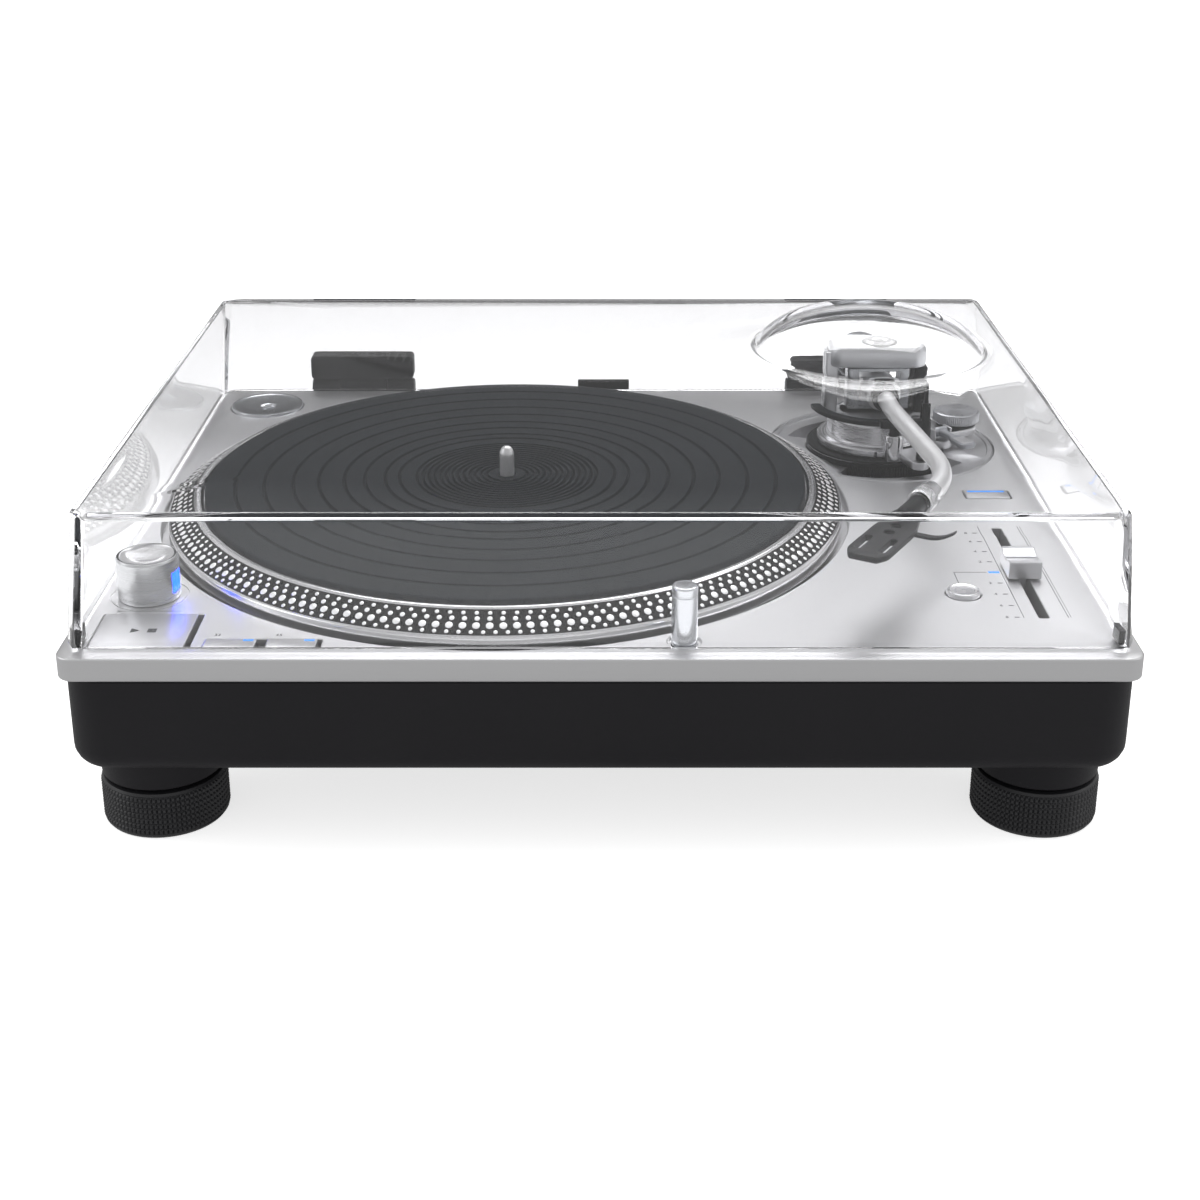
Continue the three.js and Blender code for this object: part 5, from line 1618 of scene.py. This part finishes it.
    def build_hinges(self) -> None:
        """The hinges: a leaf on the cover, a socket on the plinth, and knuckles about one pin."""
        pin_y, pin_z = joint_place("cover_hinge")[1:]
        for side in ("left", "right"):
            arm, socket = "hinge_arm_" + side, "hinge_socket_" + side
            a, b = span(arm)
            c, d = span(socket)
            x = (a[0] + b[0]) / 2
            radius = pin_z - a[2]
            leaf_low = pin_z + 7.3
            leaf = stand(plate(rectangle(a[0], leaf_low, b[0], b[2], 2.5), 0, self.leaf_back - a[1], 0.8),
                         a[1])
            neck = stand(plate(rectangle(x - 13.7, pin_z + 2, x + 13.7, leaf_low + 2, 0.3), 0, 9.4, 0.4),
                         pin_y - 5.6)
            knuckle = rod((x - 13.7, pin_y, pin_z), (x + 13.7, pin_y, pin_z),
                          bar_profile(radius, 0, 27.4, 0.5), 48)
            screws = [rod((x + dx, b[1] - 0.4, (leaf_low + b[2]) / 2),
                          (x + dx, b[1] + 1, (leaf_low + b[2]) / 2),
                          eased([(0, 0), (2.4, 0), (2.4, 0.35), (0, 0.35)], 0.1), 32) for dx in (-20, 20)]
            present("hinge_leaf_" + side, [leaf, neck, knuckle], self.finishes.moulding, "cover",
                    [arm])
            present("hinge_screws_" + side, screws, self.finishes.steel, "cover")
            block = stand(plate(rectangle(c[0], c[2], d[0], pin_z - 4.5, 2.0), 0, d[1] - c[1] - 0.2, 0.8),
                          c[1])
            parts = [block]
            for x0, x1 in ((c[0], x - 14), (x + 14, d[0])):
                parts.append(rod((x0, pin_y, pin_z), (x1, pin_y, pin_z),
                                 bar_profile(radius, 0, x1 - x0, 0.5), 48))
                cheek = rectangle(x0, pin_z - 7, x1, pin_z - 1, 0.3)
                parts.append(stand(plate(cheek, 0, 9.6, 0.3), pin_y - 4.8))
            present("hinge_block_" + side, parts, self.finishes.moulding, "plinth",
                    [socket])


# ---------------------------------------------------------------- arm


@dataclass
class ArmLine:
    """The level line of the tube at rest, through the pivot.

    Its y runs back from the pivot to the counterweight, its x to the right, its z up from the deck.
    """

    heading: float
    height: float

    def place(self, surface: Surface) -> Surface:
        """A surface drawn about the pivot in the line's own axes, put in the frame."""
        return surface.turned(self.heading).moved((PIVOT[0], PIVOT[1], DECK_TOP))

    def lathe(self, profile: Sequence, steps: int = 72, ring: bool = False) -> Surface:
        """A turned piece on the line: rows of radius and distance back from the pivot."""
        made = revolve(profile, steps=steps, ring=ring).aimed((0, 0, self.height), (0, 1, 0))
        return self.place(made)

    def ribbed(self, profile: Sequence, depth: Sequence, teeth: int) -> Surface:
        """A hollow turned piece with ribs along the line."""
        return self.place(fluted(profile, depth, teeth, ring=True).aimed((0, 0, self.height), (0, 1, 0)))


@dataclass
class ArmBase:
    """Everything that carries the arm: ring, post, bracket, dials, lever, lift, rest and bearing arch."""

    finishes: Finishes
    line: ArmLine
    lift_at: tuple = (5.2, -32.9)
    lever_turn: float = 27.0

    def build(self) -> None:
        """Builds the pieces from the deck up."""
        self.build_ring()
        self.build_post()
        self.build_anti_skate()
        self.build_lever()
        self.build_lift()
        self.build_arch()
        self.build_rest()

    def build_ring(self) -> None:
        """The height ring: black, ribbed round its side, with one bright line under its top edge."""
        low, high = span("height_ring")
        at = middle("height_ring")[:2]
        outer = high[0] - at[0]
        rows = [(28.6, low[2]), (outer - 1, low[2]), (outer, low[2] + 1), (outer, DECK_TOP - 0.4),
                (outer, DECK_TOP),
                (outer, high[2] - 1.5), (outer - 0.25, high[2] - 1.3), (outer - 0.25, high[2] - 1.0),
                (outer, high[2] - 0.8),
                (outer - 0.6, high[2] - 0.15), (outer - 1.6, high[2]), (30, high[2]), (28.6, high[2] - 0.8)]
        ribs = [0, 0, 0.7, 0.7, 0.1, 0, 0, 0, 0, 0, 0, 0, 0]
        present("height_ring_ribbed", [fluted(rows, ribs, 150, at, ring=True)], self.finishes.black_metal,
                "height_adjuster",
                ["height_ring"])
        band = [(outer - 0.3, high[2] - 1.25), (outer - 0.1, high[2] - 1.25),
                (outer - 0.1, high[2] - 1.05), (outer - 0.3, high[2] - 1.05)]
        present("height_ring_line", [revolve(band, at=at, steps=180, ring=True)], self.finishes.polished,
                "height_adjuster")

    def build_post(self) -> None:
        """The post: a flange with a chamfered edge, a brushed body, the lift's cylinder and the bracket."""
        at = PIVOT[:2]
        profile = [(0, -7.4), (28.3, -7.4), (28.3, 3.7), (30.4, 3.8), (31, 4.4), (31, 7.3), (30.4, 8),
                   (27, 8), (26.4, 8.3),
                   (26.2, 9), (26.05, 9.2), (26.05, 9.6), (26.0, 10), (25.5, 18.2), (24.8, 19), (15, 19),
                   (0, 19)]
        silver = turned_metal("turned_post_aluminium", "#D9D9DB", 0.24, at, 0.35)
        post = mesh_of("post", [revolve(raised(profile), at=at, steps=160)])
        links = []
        for a, b, ra, rb in (((18, 2), (46, 14), 14, 11), ((12, -14), (17, -45), 10, 5),
                             ((24, 0), (33, -10), 8, 7)):
            links.append(plate(from_pivot(stadium(a, b, ra, rb)), over_deck(3.8), over_deck(8), 0.6))
        barrel = eased([(0, 4), (4.8, 4), (4.8, 18), (3, 18), (3, 15), (0, 15)], [0, 0.2, 0.5, 0.2, 0.2, 0])
        barrel = revolve(raised(barrel), at=at + self.lift_at, steps=48)
        seat = revolve(raised(bar_profile(10.5, 5, 9.7)), at=at + (46, 14), steps=72)
        present("arm_post_turned", post, silver, "arm_base", ["arm_post"], crease=24)
        present("arm_bracket", links, self.finishes.button, "arm_base")
        present("lift_cylinder", [barrel], self.finishes.polished, "arm_base")
        present("dial_seat", [seat], self.finishes.black_metal, "arm_base")
        tick = sector(30.95, 31.12, 262, 264.5, at)
        present("height_index", [slab(tick, [(0, over_deck(4.6)), (0, over_deck(7.2))])], self.finishes.ink,
                "arm_base")

    def build_anti_skate(self) -> None:
        """The anti-skate dial: a satin grey cap with a ribbed side and a printed scale."""
        at = middle("anti_skate_dial")[:2]
        low, high = span("anti_skate_dial")
        radius = high[0] - at[0]
        rows = [(0, low[2]), (radius - 0.5, low[2]), (radius, low[2] + 0.5), (radius, high[2] - 1.2),
                (radius - 0.3, high[2] - 0.5),
                (radius - 1.1, high[2]), (radius - 1.5, high[2]), (0, high[2])]
        cap = fluted(rows, [0, 0.1, 0.3, 0.3, 0.15, 0, 0, 0], 72, at)
        satin = turned_metal("satin_dial_aluminium", "#BDBEC1", 0.34, at, 0.3)
        present("anti_skate_cap", [cap], satin, "anti_skate", ["anti_skate_dial"])
        marks = []
        for i in range(15):
            size = 2.4 if i % 2 == 0 else 1.3
            marks.append(bars([(radius - 1.9 - size, -0.14, radius - 1.9, 0.14)], high[2] - 0.05,
                              high[2] + 0.04)
                         .turned(120 + i * 20).moved((at[0], at[1], 0)))
        present("anti_skate_scale", marks, self.finishes.ink, "anti_skate")

    def at_lever(self, surface: Surface) -> Surface:
        """A surface drawn about the lever's hub at the deck's face, put in the frame."""
        hub = joint_place("cue_lever_lift")
        return surface.turned(self.lever_turn).moved((hub[0], hub[1], DECK_TOP))

    def build_lever(self) -> None:
        """The cue lever: a hub between two cheeks, a neck and a paddle with a lighter pad."""
        outline = eased([(-2.4, -1.5), (-1.9, -11), (-4.4, -15), (-5, -24), (-3.4, -27), (3.4, -27),
                         (5, -24), (4.4, -15),
                         (1.9, -11), (2.4, -1.5)], [0.5, 3, 3, 2, 1.5, 1.5, 2, 3, 3, 0.5], closed=True,
                         steps=6)
        paddle = slab(outline, [(0.6, 10.2), (0, 10.8), (0, 12.6), (0.7, 13.2)])
        axle = rod((-3.9, 0, 11.6), (3.9, 0, 11.6), bar_profile(2.6, 0, 7.8, 0.4), 40)
        place = self.at_lever
        present("cue_paddle", [place(paddle), place(axle)], self.finishes.lever, "lever",
                ["cue_lever"])
        pad = eased([(-3.6, -16), (-4, -24), (-2.6, -25.8), (2.6, -25.8), (4, -24), (3.6, -16)], 1.2,
                    closed=True)
        present("cue_pad", [place(slab(pad, [(0, 13.0), (0, 13.25), (0.3, 13.45)]))], self.finishes.button,
                "lever")
        cheeks = [place(plate(rectangle(x0, -3.4, x1, 3.4, 1.0), 7.5, 14, 0.4)) for x0,
                  x1 in ((-5.8, -4.3), (4.3, 5.8))]
        present("lever_cheeks", cheeks, self.finishes.button, "arm_base")

    def build_lift(self) -> None:
        """The lift: a curved black strip with a rubbed top, on a dark shaft."""
        at = PIVOT[:2]
        low, high = span("lift_platform")
        strip = slab(sector(30.6, 36, 186, 283, at, 1.6),
                     [(0.4, high[2] - 2.5), (0, high[2] - 2.1), (0, high[2] - 0.4), (0.5, high[2])])
        shaft = cylinder(2.7, low[2], high[2] - 2, at + self.lift_at, 40)
        pad = slab(sector(31.6, 35, 189, 280, at, 1.0), [(0, high[2] - 0.3), (0, high[2] + 0.12)])
        present("lift_strip", [strip, shaft], self.finishes.black_metal, "lift",
                ["lift_platform"])
        present("lift_strip_pad", [pad], self.finishes.mat, "lift")

    def build_arch(self) -> None:
        """The arch: a foot, a split upright on the left, a rounded housing and a bearing cap."""
        at = PIVOT[:2]
        foot = plate(from_pivot(rectangle(-29, -7, 25.5, 7, 3)), over_deck(19.3), over_deck(21.3), 0.4)
        disc = revolve(raised(bar_profile(20, 19.3, 21.3)), at=at)
        upright = [plate(from_pivot(rectangle(-29, y0, -22, y1, 1.4)), over_deck(19.6), over_deck(56), 0.5)
                   for y0, y1 in ((-7, -1.1), (1.1, 7))]
        core = plate(from_pivot(rectangle(-27.6, -5, -23.4, 5, 0.5)), over_deck(19.6), over_deck(56), 0.2)
        sides = [(1.6, 48.3), (0.5, 48.9), (0, 50), (0, 56.4), (0.5, 58.4), (1.6, 59.6), (3.2, 60)]
        housing = slab(from_pivot(rectangle(-27, -11, 24.5, 13, 7, 10)), raised(sides))
        cap = [(0, 59), (8, 59), (8, 60.4), (7.4, 60.9), (6.9, 60.9), (6.7, 61.5), (6, 61.6), (4, 61.4),
               (3.6, 60.9), (0, 60.8)]
        present("bearing_arch", [foot, disc, *upright, housing], self.finishes.cast, "arm_base",
                ["gimbal_arch"])
        present("arch_core", [core], self.finishes.black_metal, "arm_base")
        silver = turned_metal("turned_cap_aluminium", "#DFDFE0", 0.2, at, 0.3)
        present("bearing_cap", [revolve(raised(cap), at=at, steps=96)], silver, "arm_base")
        ring = [(8.1, 59.9), (9.2, 59.9), (9.2, 60.2), (8.1, 60.2)]
        present("cap_ring", [revolve(raised(ring), at=at, steps=96, ring=True)], self.finishes.black_metal,
                "arm_base")
        low, high = span("bearing_block")
        block = slab(box_outline(low, high, 2.0), [(0.5, low[2]), (0, low[2] + 0.5), (0, high[2] - 0.5),
                                                   (0.5, high[2])])
        screw = rod((high[0] - 0.3, at[1], over_deck(35)), (high[0] + 1, at[1], over_deck(35)),
                    eased([(0, 0), (4.4, 0), (4.4, 0.28), (1.6, 0.28), (1.2, 0.1), (0, 0.1)], 0.06), 40)
        present("bearing_block_black", [block], self.finishes.black_metal, "arm_base",
                ["bearing_block"])
        present("bearing_screw", [screw], self.finishes.steel, "arm_base")

    def build_rest(self) -> None:
        """The arm rest: a thin post, a saddle under the tube, and a fold-over clip."""
        post = revolve(eased([(0, 8.3), (3.4, 8.3), (3.4, 34), (2.6, 35), (0, 35)], [0, 0.2, 0.2, 0.4, 0]),
                       at=(17, -45), steps=40)
        # The post's head is pressed flat into the saddle.
        post.points[:, 2] = np.minimum(post.points[:, 2], 29.8)
        saddle = plate(rectangle(-6, -48, 18, -42, 1.4), 25.8, 29.8, 0.6)
        ears = [plate(rectangle(15, y0, 19, y1, 0.5), 29.4, 39.5, 0.3) for y0,
                y1 in ((-48.4, -46.9), (-43.1, -41.6))]
        present("rest_saddle", [self.line.place(s) for s in (post, saddle, *ears)], self.finishes.black_metal,
                "arm_base", ["arm_rest"])
        hub = rod((17, -46.7, 37.6), (17, -43.3, 37.6), bar_profile(1.8, 0, 3.4, 0.3), 32)
        strip = plate(rectangle(16.1, -46.6, 17.9, -43.4, 0.4), 37.6, 49.6, 0.3)
        hook = plate(rectangle(13.6, -46.6, 17.9, -43.4, 0.5), 48, 49.6, 0.3)
        present("rest_latch", [self.line.place(s) for s in (hub, strip, hook)], self.finishes.moulding,
                "clip",
                ["rest_clip"])


@dataclass
class Arm:
    """The arm that swings and tilts, from the counterweight to the headshell."""

    finishes: Finishes
    line: ArmLine
    radius: float = 4.6

    def __post_init__(self) -> None:
        """Reads the elbow's place and the way the head points from the collar's joint."""
        self.elbow = joint_place("collar_turn")
        axis = joint_axis("collar_turn")
        self.head = axis if axis[1] < 0 else -axis

    def build(self) -> None:
        """Builds the gimbal ring, the bearing housing, the weights, the tube and the head."""
        self.build_gimbal()
        self.build_weights()
        self.build_tube()
        self.build_head()

    def build_gimbal(self) -> None:
        """The gimbal ring on its upright pins, and the housing inside it."""
        ring = plate(rectangle(-17, -6, 17, 6, 2.0), 22.8, 47.2, 0.8)
        room = plate(rectangle(-11, -12, 11, 12, 1.0), 24.8, 45.2, 0.2)
        mesh = carved(mesh_of("ring", [self.line.place(ring)]), [self.line.place(room)])
        pins = [revolve(bar_profile(3, z0, z1, 0.3), steps=40) for z0, z1 in ((21.4, 23), (47, 48.2))]
        present("gimbal_frame", mesh, self.finishes.steel, "swing_ring", ["gimbal_ring"])
        present("gimbal_pins", [self.line.place(p) for p in pins], self.finishes.steel, "swing_ring")
        housing = eased([(0, -20), (9, -20), (9, 18), (7, 19), (4, 19.5), (4, 71.5), (0, 72)],
                        [0, 1.5, 1.0, 0.5, 0.4, 0.5, 0])
        present("bearing_housing", [self.line.lathe(housing)], self.finishes.cast, "tonearm",
                ["tonearm_housing"])
        collar = eased([(0, -27), (6.2, -27), (7, -26), (7, -20.3), (0, -20.3)], [0, 0.3, 0.4, 0.5, 0])
        present("black_collar", [self.line.lathe(collar)], self.finishes.black_metal, "tonearm",
                ["tube_collar"])

    def build_weights(self) -> None:
        """The tracking dial and the counterweight with its ribbed grip."""
        dial = [(4.3, 32), (12.9, 32), (13.5, 32.6), (13.5, 39.4), (12.9, 40), (4.3, 40)]
        band = self.line.ribbed(dial, [0, 0.1, 0.45, 0.45, 0.1, 0], 72)
        present("tracking_dial", [band], self.finishes.black_metal, "weight_dial",
                ["weight_dial"])
        ticks = []
        for i in range(20):
            angle = i * 18.0
            long = 1.5 if i % 5 else 2.4
            box = bars([(11.6 - long, -0.16, 11.6, 0.16)], -0.05, 0.05).turned(angle)
            ticks.append(self.line.place(box.aimed((0, 31.97, self.line.height), (0, 1, 0))))
        present("tracking_scale", ticks, self.finishes.button, "weight_dial")
        rows = [(4.3, 40.3), (14.4, 40.3), (15, 40.9), (15, 45), (14.7, 45.4), (14.7, 46.2), (15, 46.6),
                (15, 60.4), (14.7, 60.8),
                (14.2, 61.2), (14.2, 63.2), (13.4, 64), (6.5, 64), (6.2, 62), (4.3, 62)]
        depth = [0, 0, 0, 0, 0, 0, 0.35, 0.35, 0, 0, 0, 0, 0, 0, 0]
        weight = self.line.ribbed(rows, depth, 96)
        present("balance_weight", [weight], self.finishes.steel, "counterweight",
                ["counterweight"])

    def curve(self) -> np.ndarray:
        """The tube's middle line: straight runs joined by quadratic curves at its two bends."""
        height = over_deck(self.line.height)
        turn = np.array(Matrix.Rotation(math.radians(self.line.heading), 3, "Z"))
        pivot = np.array([PIVOT[0], PIVOT[1], height])
        start = pivot + turn @ (0, -27.3, 0)
        first = pivot + turn @ (0, -45, 0)
        elbow = self.elbow
        unit = (elbow - first) / np.linalg.norm(elbow - first)
        before, after = elbow - 26 * unit, elbow + 22.1 * self.head
        end = elbow + 29 * self.head
        near_first, past_first = first + 0.6 * (start - first), first + 0.16 * (before - first)
        return np.concatenate([
            straight(start, near_first, 4)[:-1], bend(near_first, first, past_first, 18)[:-1],
            straight(past_first, before, 16)[:-1], bend(before, elbow, after, 28)[:-1],
            straight(after, end, 6),
        ])

    def build_tube(self) -> None:
        """The curved tube with a turned sleeve at its head end."""
        path = self.curve()
        shell = tube(path, self.radius, 48)
        present("curved_tube", [shell], self.finishes.tube, "tonearm", ["tonearm_tube"])
        end = path[-1]
        sleeve = eased([(0, 0), (5.2, 0), (5.2, 5), (0, 5)], 0.4)
        present("tube_sleeve", [rod(end - self.head * 5.2, end, sleeve, 64)], self.finishes.polished,
                "tonearm")

    def along(self, surface: Surface) -> Surface:
        """A surface drawn about the elbow (y along the head, x to its right), put in the frame."""
        turn = math.degrees(math.atan2(self.head[1], self.head[0])) - 90
        return surface.turned(turn).moved((self.elbow[0], self.elbow[1], 0))

    def build_head(self) -> None:
        """The knurled collar, the slotted headshell and the finger lift."""
        rows = [(4.9, 29.3), (5.6, 29.3), (6.2, 29.9), (6.2, 32), (5.9, 32.3), (5.9, 32.9), (6.2, 33.2),
                (6.2, 40.2), (5.8, 41),
                (4.9, 41)]
        depth = [0, 0, 0, 0, 0, 0, 0.4, 0.4, 0, 0]
        z = self.elbow[2]
        knurled = fluted(rows, depth, 54, ring=True).aimed((0, 0, z), (0, 1, 0))
        present("knurled_collar", [self.along(knurled)], self.finishes.polished, "collar",
                ["locking_collar"])
        bottom, top = over_deck(33), over_deck(36)
        half = np.array([(4.6, 49), (5.6, 54), (9.5, 68), (9.5, 100), (6.4, 106)])
        outline = np.concatenate([half, (half * (-1, 1))[::-1]])
        outline = eased(outline, [2, 3, 5, 1.6, 1, 1, 1.6, 5, 3, 2], closed=True, steps=6)
        shell = slab(outline, [(0.5, bottom), (0, bottom + 0.5), (0, top - 0.7), (0.25, top - 0.2),
                               (0.7, top)])
        cuts = [plate(rectangle(x - 1.7, 83, x + 1.7, 100, 1.69, 10), bottom - 5, top + 5,
                      0.05) for x in (-5.6, 5.6)]
        cuts += [cylinder(2.7, bottom - 5, top + 5, (0, y), 40) for y in (67.5, 76)]
        mesh = carved(mesh_of("shell", [self.along(shell)]), [self.along(c) for c in cuts])
        present("slotted_headshell", mesh, self.finishes.black_metal, "tonearm",
                ["headshell"], crease=25)
        boss = revolve(eased([(0, 41.3), (4.4, 41.3), (4.4, 58), (3.4, 61), (0, 61)], [0, 0.3, 1, 1, 0]),
                       steps=56)
        boss = boss.aimed((0, 0, z), (0, 1, 0))
        # The boss is flat underneath.
        boss.points[:, 2] = np.maximum(boss.points[:, 2], bottom - 2.0)
        present("headshell_boss", [self.along(boss)], self.finishes.black_metal, "tonearm")
        self.build_finger_lift()

    def build_finger_lift(self) -> None:
        """The finger lift: a strip that runs level, then up as the square of the way out."""
        x = np.concatenate([[8.4, 12, 15], 15 + 11.5 * np.linspace(0.15, 1, 12)])
        top = over_deck(33.8) + 4.6 * np.clip((x - 15) / 11.5, 0, 1) ** 2
        bottom = top - 1.3
        half = 2.1 - 0.4 * np.clip((x - 12) / 14.5, 0, 1)
        near, far = 66.6 - half, 66.6 + half
        corners = ((near, bottom), (far, bottom), (far, top), (near, top))
        rows = np.stack([np.stack([-x, y, z], -1) for y, z in corners], 1)
        lift = present("finger_tab", [self.along(skin(rows))], self.finishes.black_metal, "tonearm",
                       ["finger_lift"])
        soften(lift, 0.3, 2, 40)


# ---------------------------------------------------------------- studio


@dataclass
class Studio:
    """A pale floor, soft lamps and the camera."""

    lens: float = 56.29
    place: tuple = (0.0, -0.8856, 0.4365)
    tilt: float = 69.95
    shift: float = -0.111
    floor_reach: float = 6.0

    def build(self) -> None:
        """Sets the floor, the world, the lamps and the camera."""
        bpy.context.scene.view_settings.view_transform = "Standard"
        self.build_floor()
        self.build_room()
        self.lamp("roof_softbox", (0.12, 0.62, 1.15), (0.08, 0.04, 0.1), (1.2, 0.62), 9.5)
        self.lamp("left_softbox", (-1.4, -0.2, 0.9), (0, 0, 0.08), (0.7, 1.1), 4.0)
        self.lamp("right_softbox", (1.5, -0.3, 0.8), (0, 0, 0.08), (0.6, 1.0), 2.2)
        self.build_camera()

    def paper(self) -> bpy.types.Material:
        """Matt white paper that is dimmer where a glossy face shows it, as if the sheet ended nearby."""
        material, tree, shader, coords = new_material("matt_white_paper")
        noise = add(tree, "ShaderNodeTexNoise", {"Vector": coords.outputs["Object"]}, Scale=900.0)
        bump = add(tree, "ShaderNodeBump", {"Height": noise.outputs["Fac"]}, Distance=0.00002, Strength=0.3)
        tree.links.new(bump.outputs["Normal"], shader.inputs["Normal"])
        rays = add(tree, "ShaderNodeLightPath")
        seen = add(
            tree, "ShaderNodeMath",
            {0: rays.outputs["Is Glossy Ray"], 1: rays.outputs["Is Reflection Ray"]}, operation="MULTIPLY",
        )
        glow = add(tree, "ShaderNodeMapRange", {"Value": seen.outputs["Value"]}, To_Min=0.72, To_Max=0.22)
        tree.links.new(glow.outputs["Result"], shader.inputs["Emission Strength"])
        shade = add(tree, "ShaderNodeMix", {"Factor": seen.outputs["Value"]}, data_type="RGBA")
        shade.inputs[6].default_value = linear("#F7F7F7")
        shade.inputs[7].default_value = linear("#A0A0A0")
        tree.links.new(shade.outputs[2], shader.inputs["Base Color"])
        shader.inputs["Emission Color"].default_value = linear("#FFFFFF")
        shader.inputs["Roughness"].default_value = 0.9
        shader.inputs["Specular IOR Level"].default_value = 0.1
        return material

    def build_floor(self) -> None:
        """A wide square of paper under the feet."""
        mesh = bpy.data.meshes.new("paper_floor")
        reach = self.floor_reach
        corners = [(-reach, -reach, 0), (reach, -reach, 0), (reach, reach, 0), (-reach, reach, 0)]
        mesh.from_pydata(corners, [], [[0, 1, 2, 3]])
        mesh.materials.append(self.paper())
        floor = bpy.data.objects.new("paper_floor", mesh)
        bpy.context.scene.collection.objects.link(floor)

    def build_room(self) -> None:
        """A room that is dim behind the player, so dark parts stay dark through the cover."""
        world = bpy.data.worlds.new("studio_white")
        bpy.context.scene.world = world
        world.use_nodes = True
        sky = world.node_tree
        ray = add(sky, "ShaderNodeTexCoord")
        parts = add(sky, "ShaderNodeSeparateXYZ", {"Vector": ray.outputs["Generated"]})
        rise = add(
            sky, "ShaderNodeMapRange", {"Value": parts.outputs["Y"]},
            From_Min=0.62, From_Max=0.92, To_Min=0.62, To_Max=0.14,
        )
        sky.links.new(rise.outputs["Result"], sky.nodes["Background"].inputs["Strength"])
        sky.nodes["Background"].inputs["Color"].default_value = linear("#FFFFFF")

    def build_camera(self) -> None:
        """The camera, in front of the player and a little above it."""
        camera = bpy.data.cameras.new("camera")
        camera.lens = self.lens
        camera.sensor_width = 36.0
        camera.shift_y = self.shift
        seat = bpy.data.objects.new("camera", camera)
        seat.location = self.place
        seat.rotation_euler = (math.radians(self.tilt), 0, 0)
        scene = bpy.context.scene
        scene.collection.objects.link(seat)
        scene.camera = seat

    def lamp(self, name: str, at: Sequence[float], aim: Sequence[float], size: Sequence[float],
             watts: float) -> None:
        """A soft rectangular lamp.

        Args:
            name: the lamp's name.
            at: its place in metres.
            aim: the point it faces.
            size: its width and height.
            watts: its power.
        """
        data = bpy.data.lights.new(name, "AREA")
        data.shape = "RECTANGLE"
        data.size, data.size_y = size
        data.energy = watts
        lamp = bpy.data.objects.new(name, data)
        lamp.location = at
        lamp.rotation_euler = (Vector(aim) - Vector(at)).to_track_quat("-Z", "Y").to_euler()
        bpy.context.scene.collection.objects.link(lamp)


def main() -> None:
    """Builds the player piece by piece, then the studio."""
    logging.basicConfig(level=logging.INFO, format="%(name)s: %(message)s")
    finishes = Finishes()
    line = ArmLine(heading=2.0, height=35.0)
    for assembly in (
        Plinth(finishes), Deck(finishes), Platter(finishes), Controls(finishes), Cover(finishes),
        ArmBase(finishes, line), Arm(finishes, line), Studio(),
    ):
        LOG.info("building %s", type(assembly).__name__)
        assembly.build()


if __name__ == "__main__":
    main()
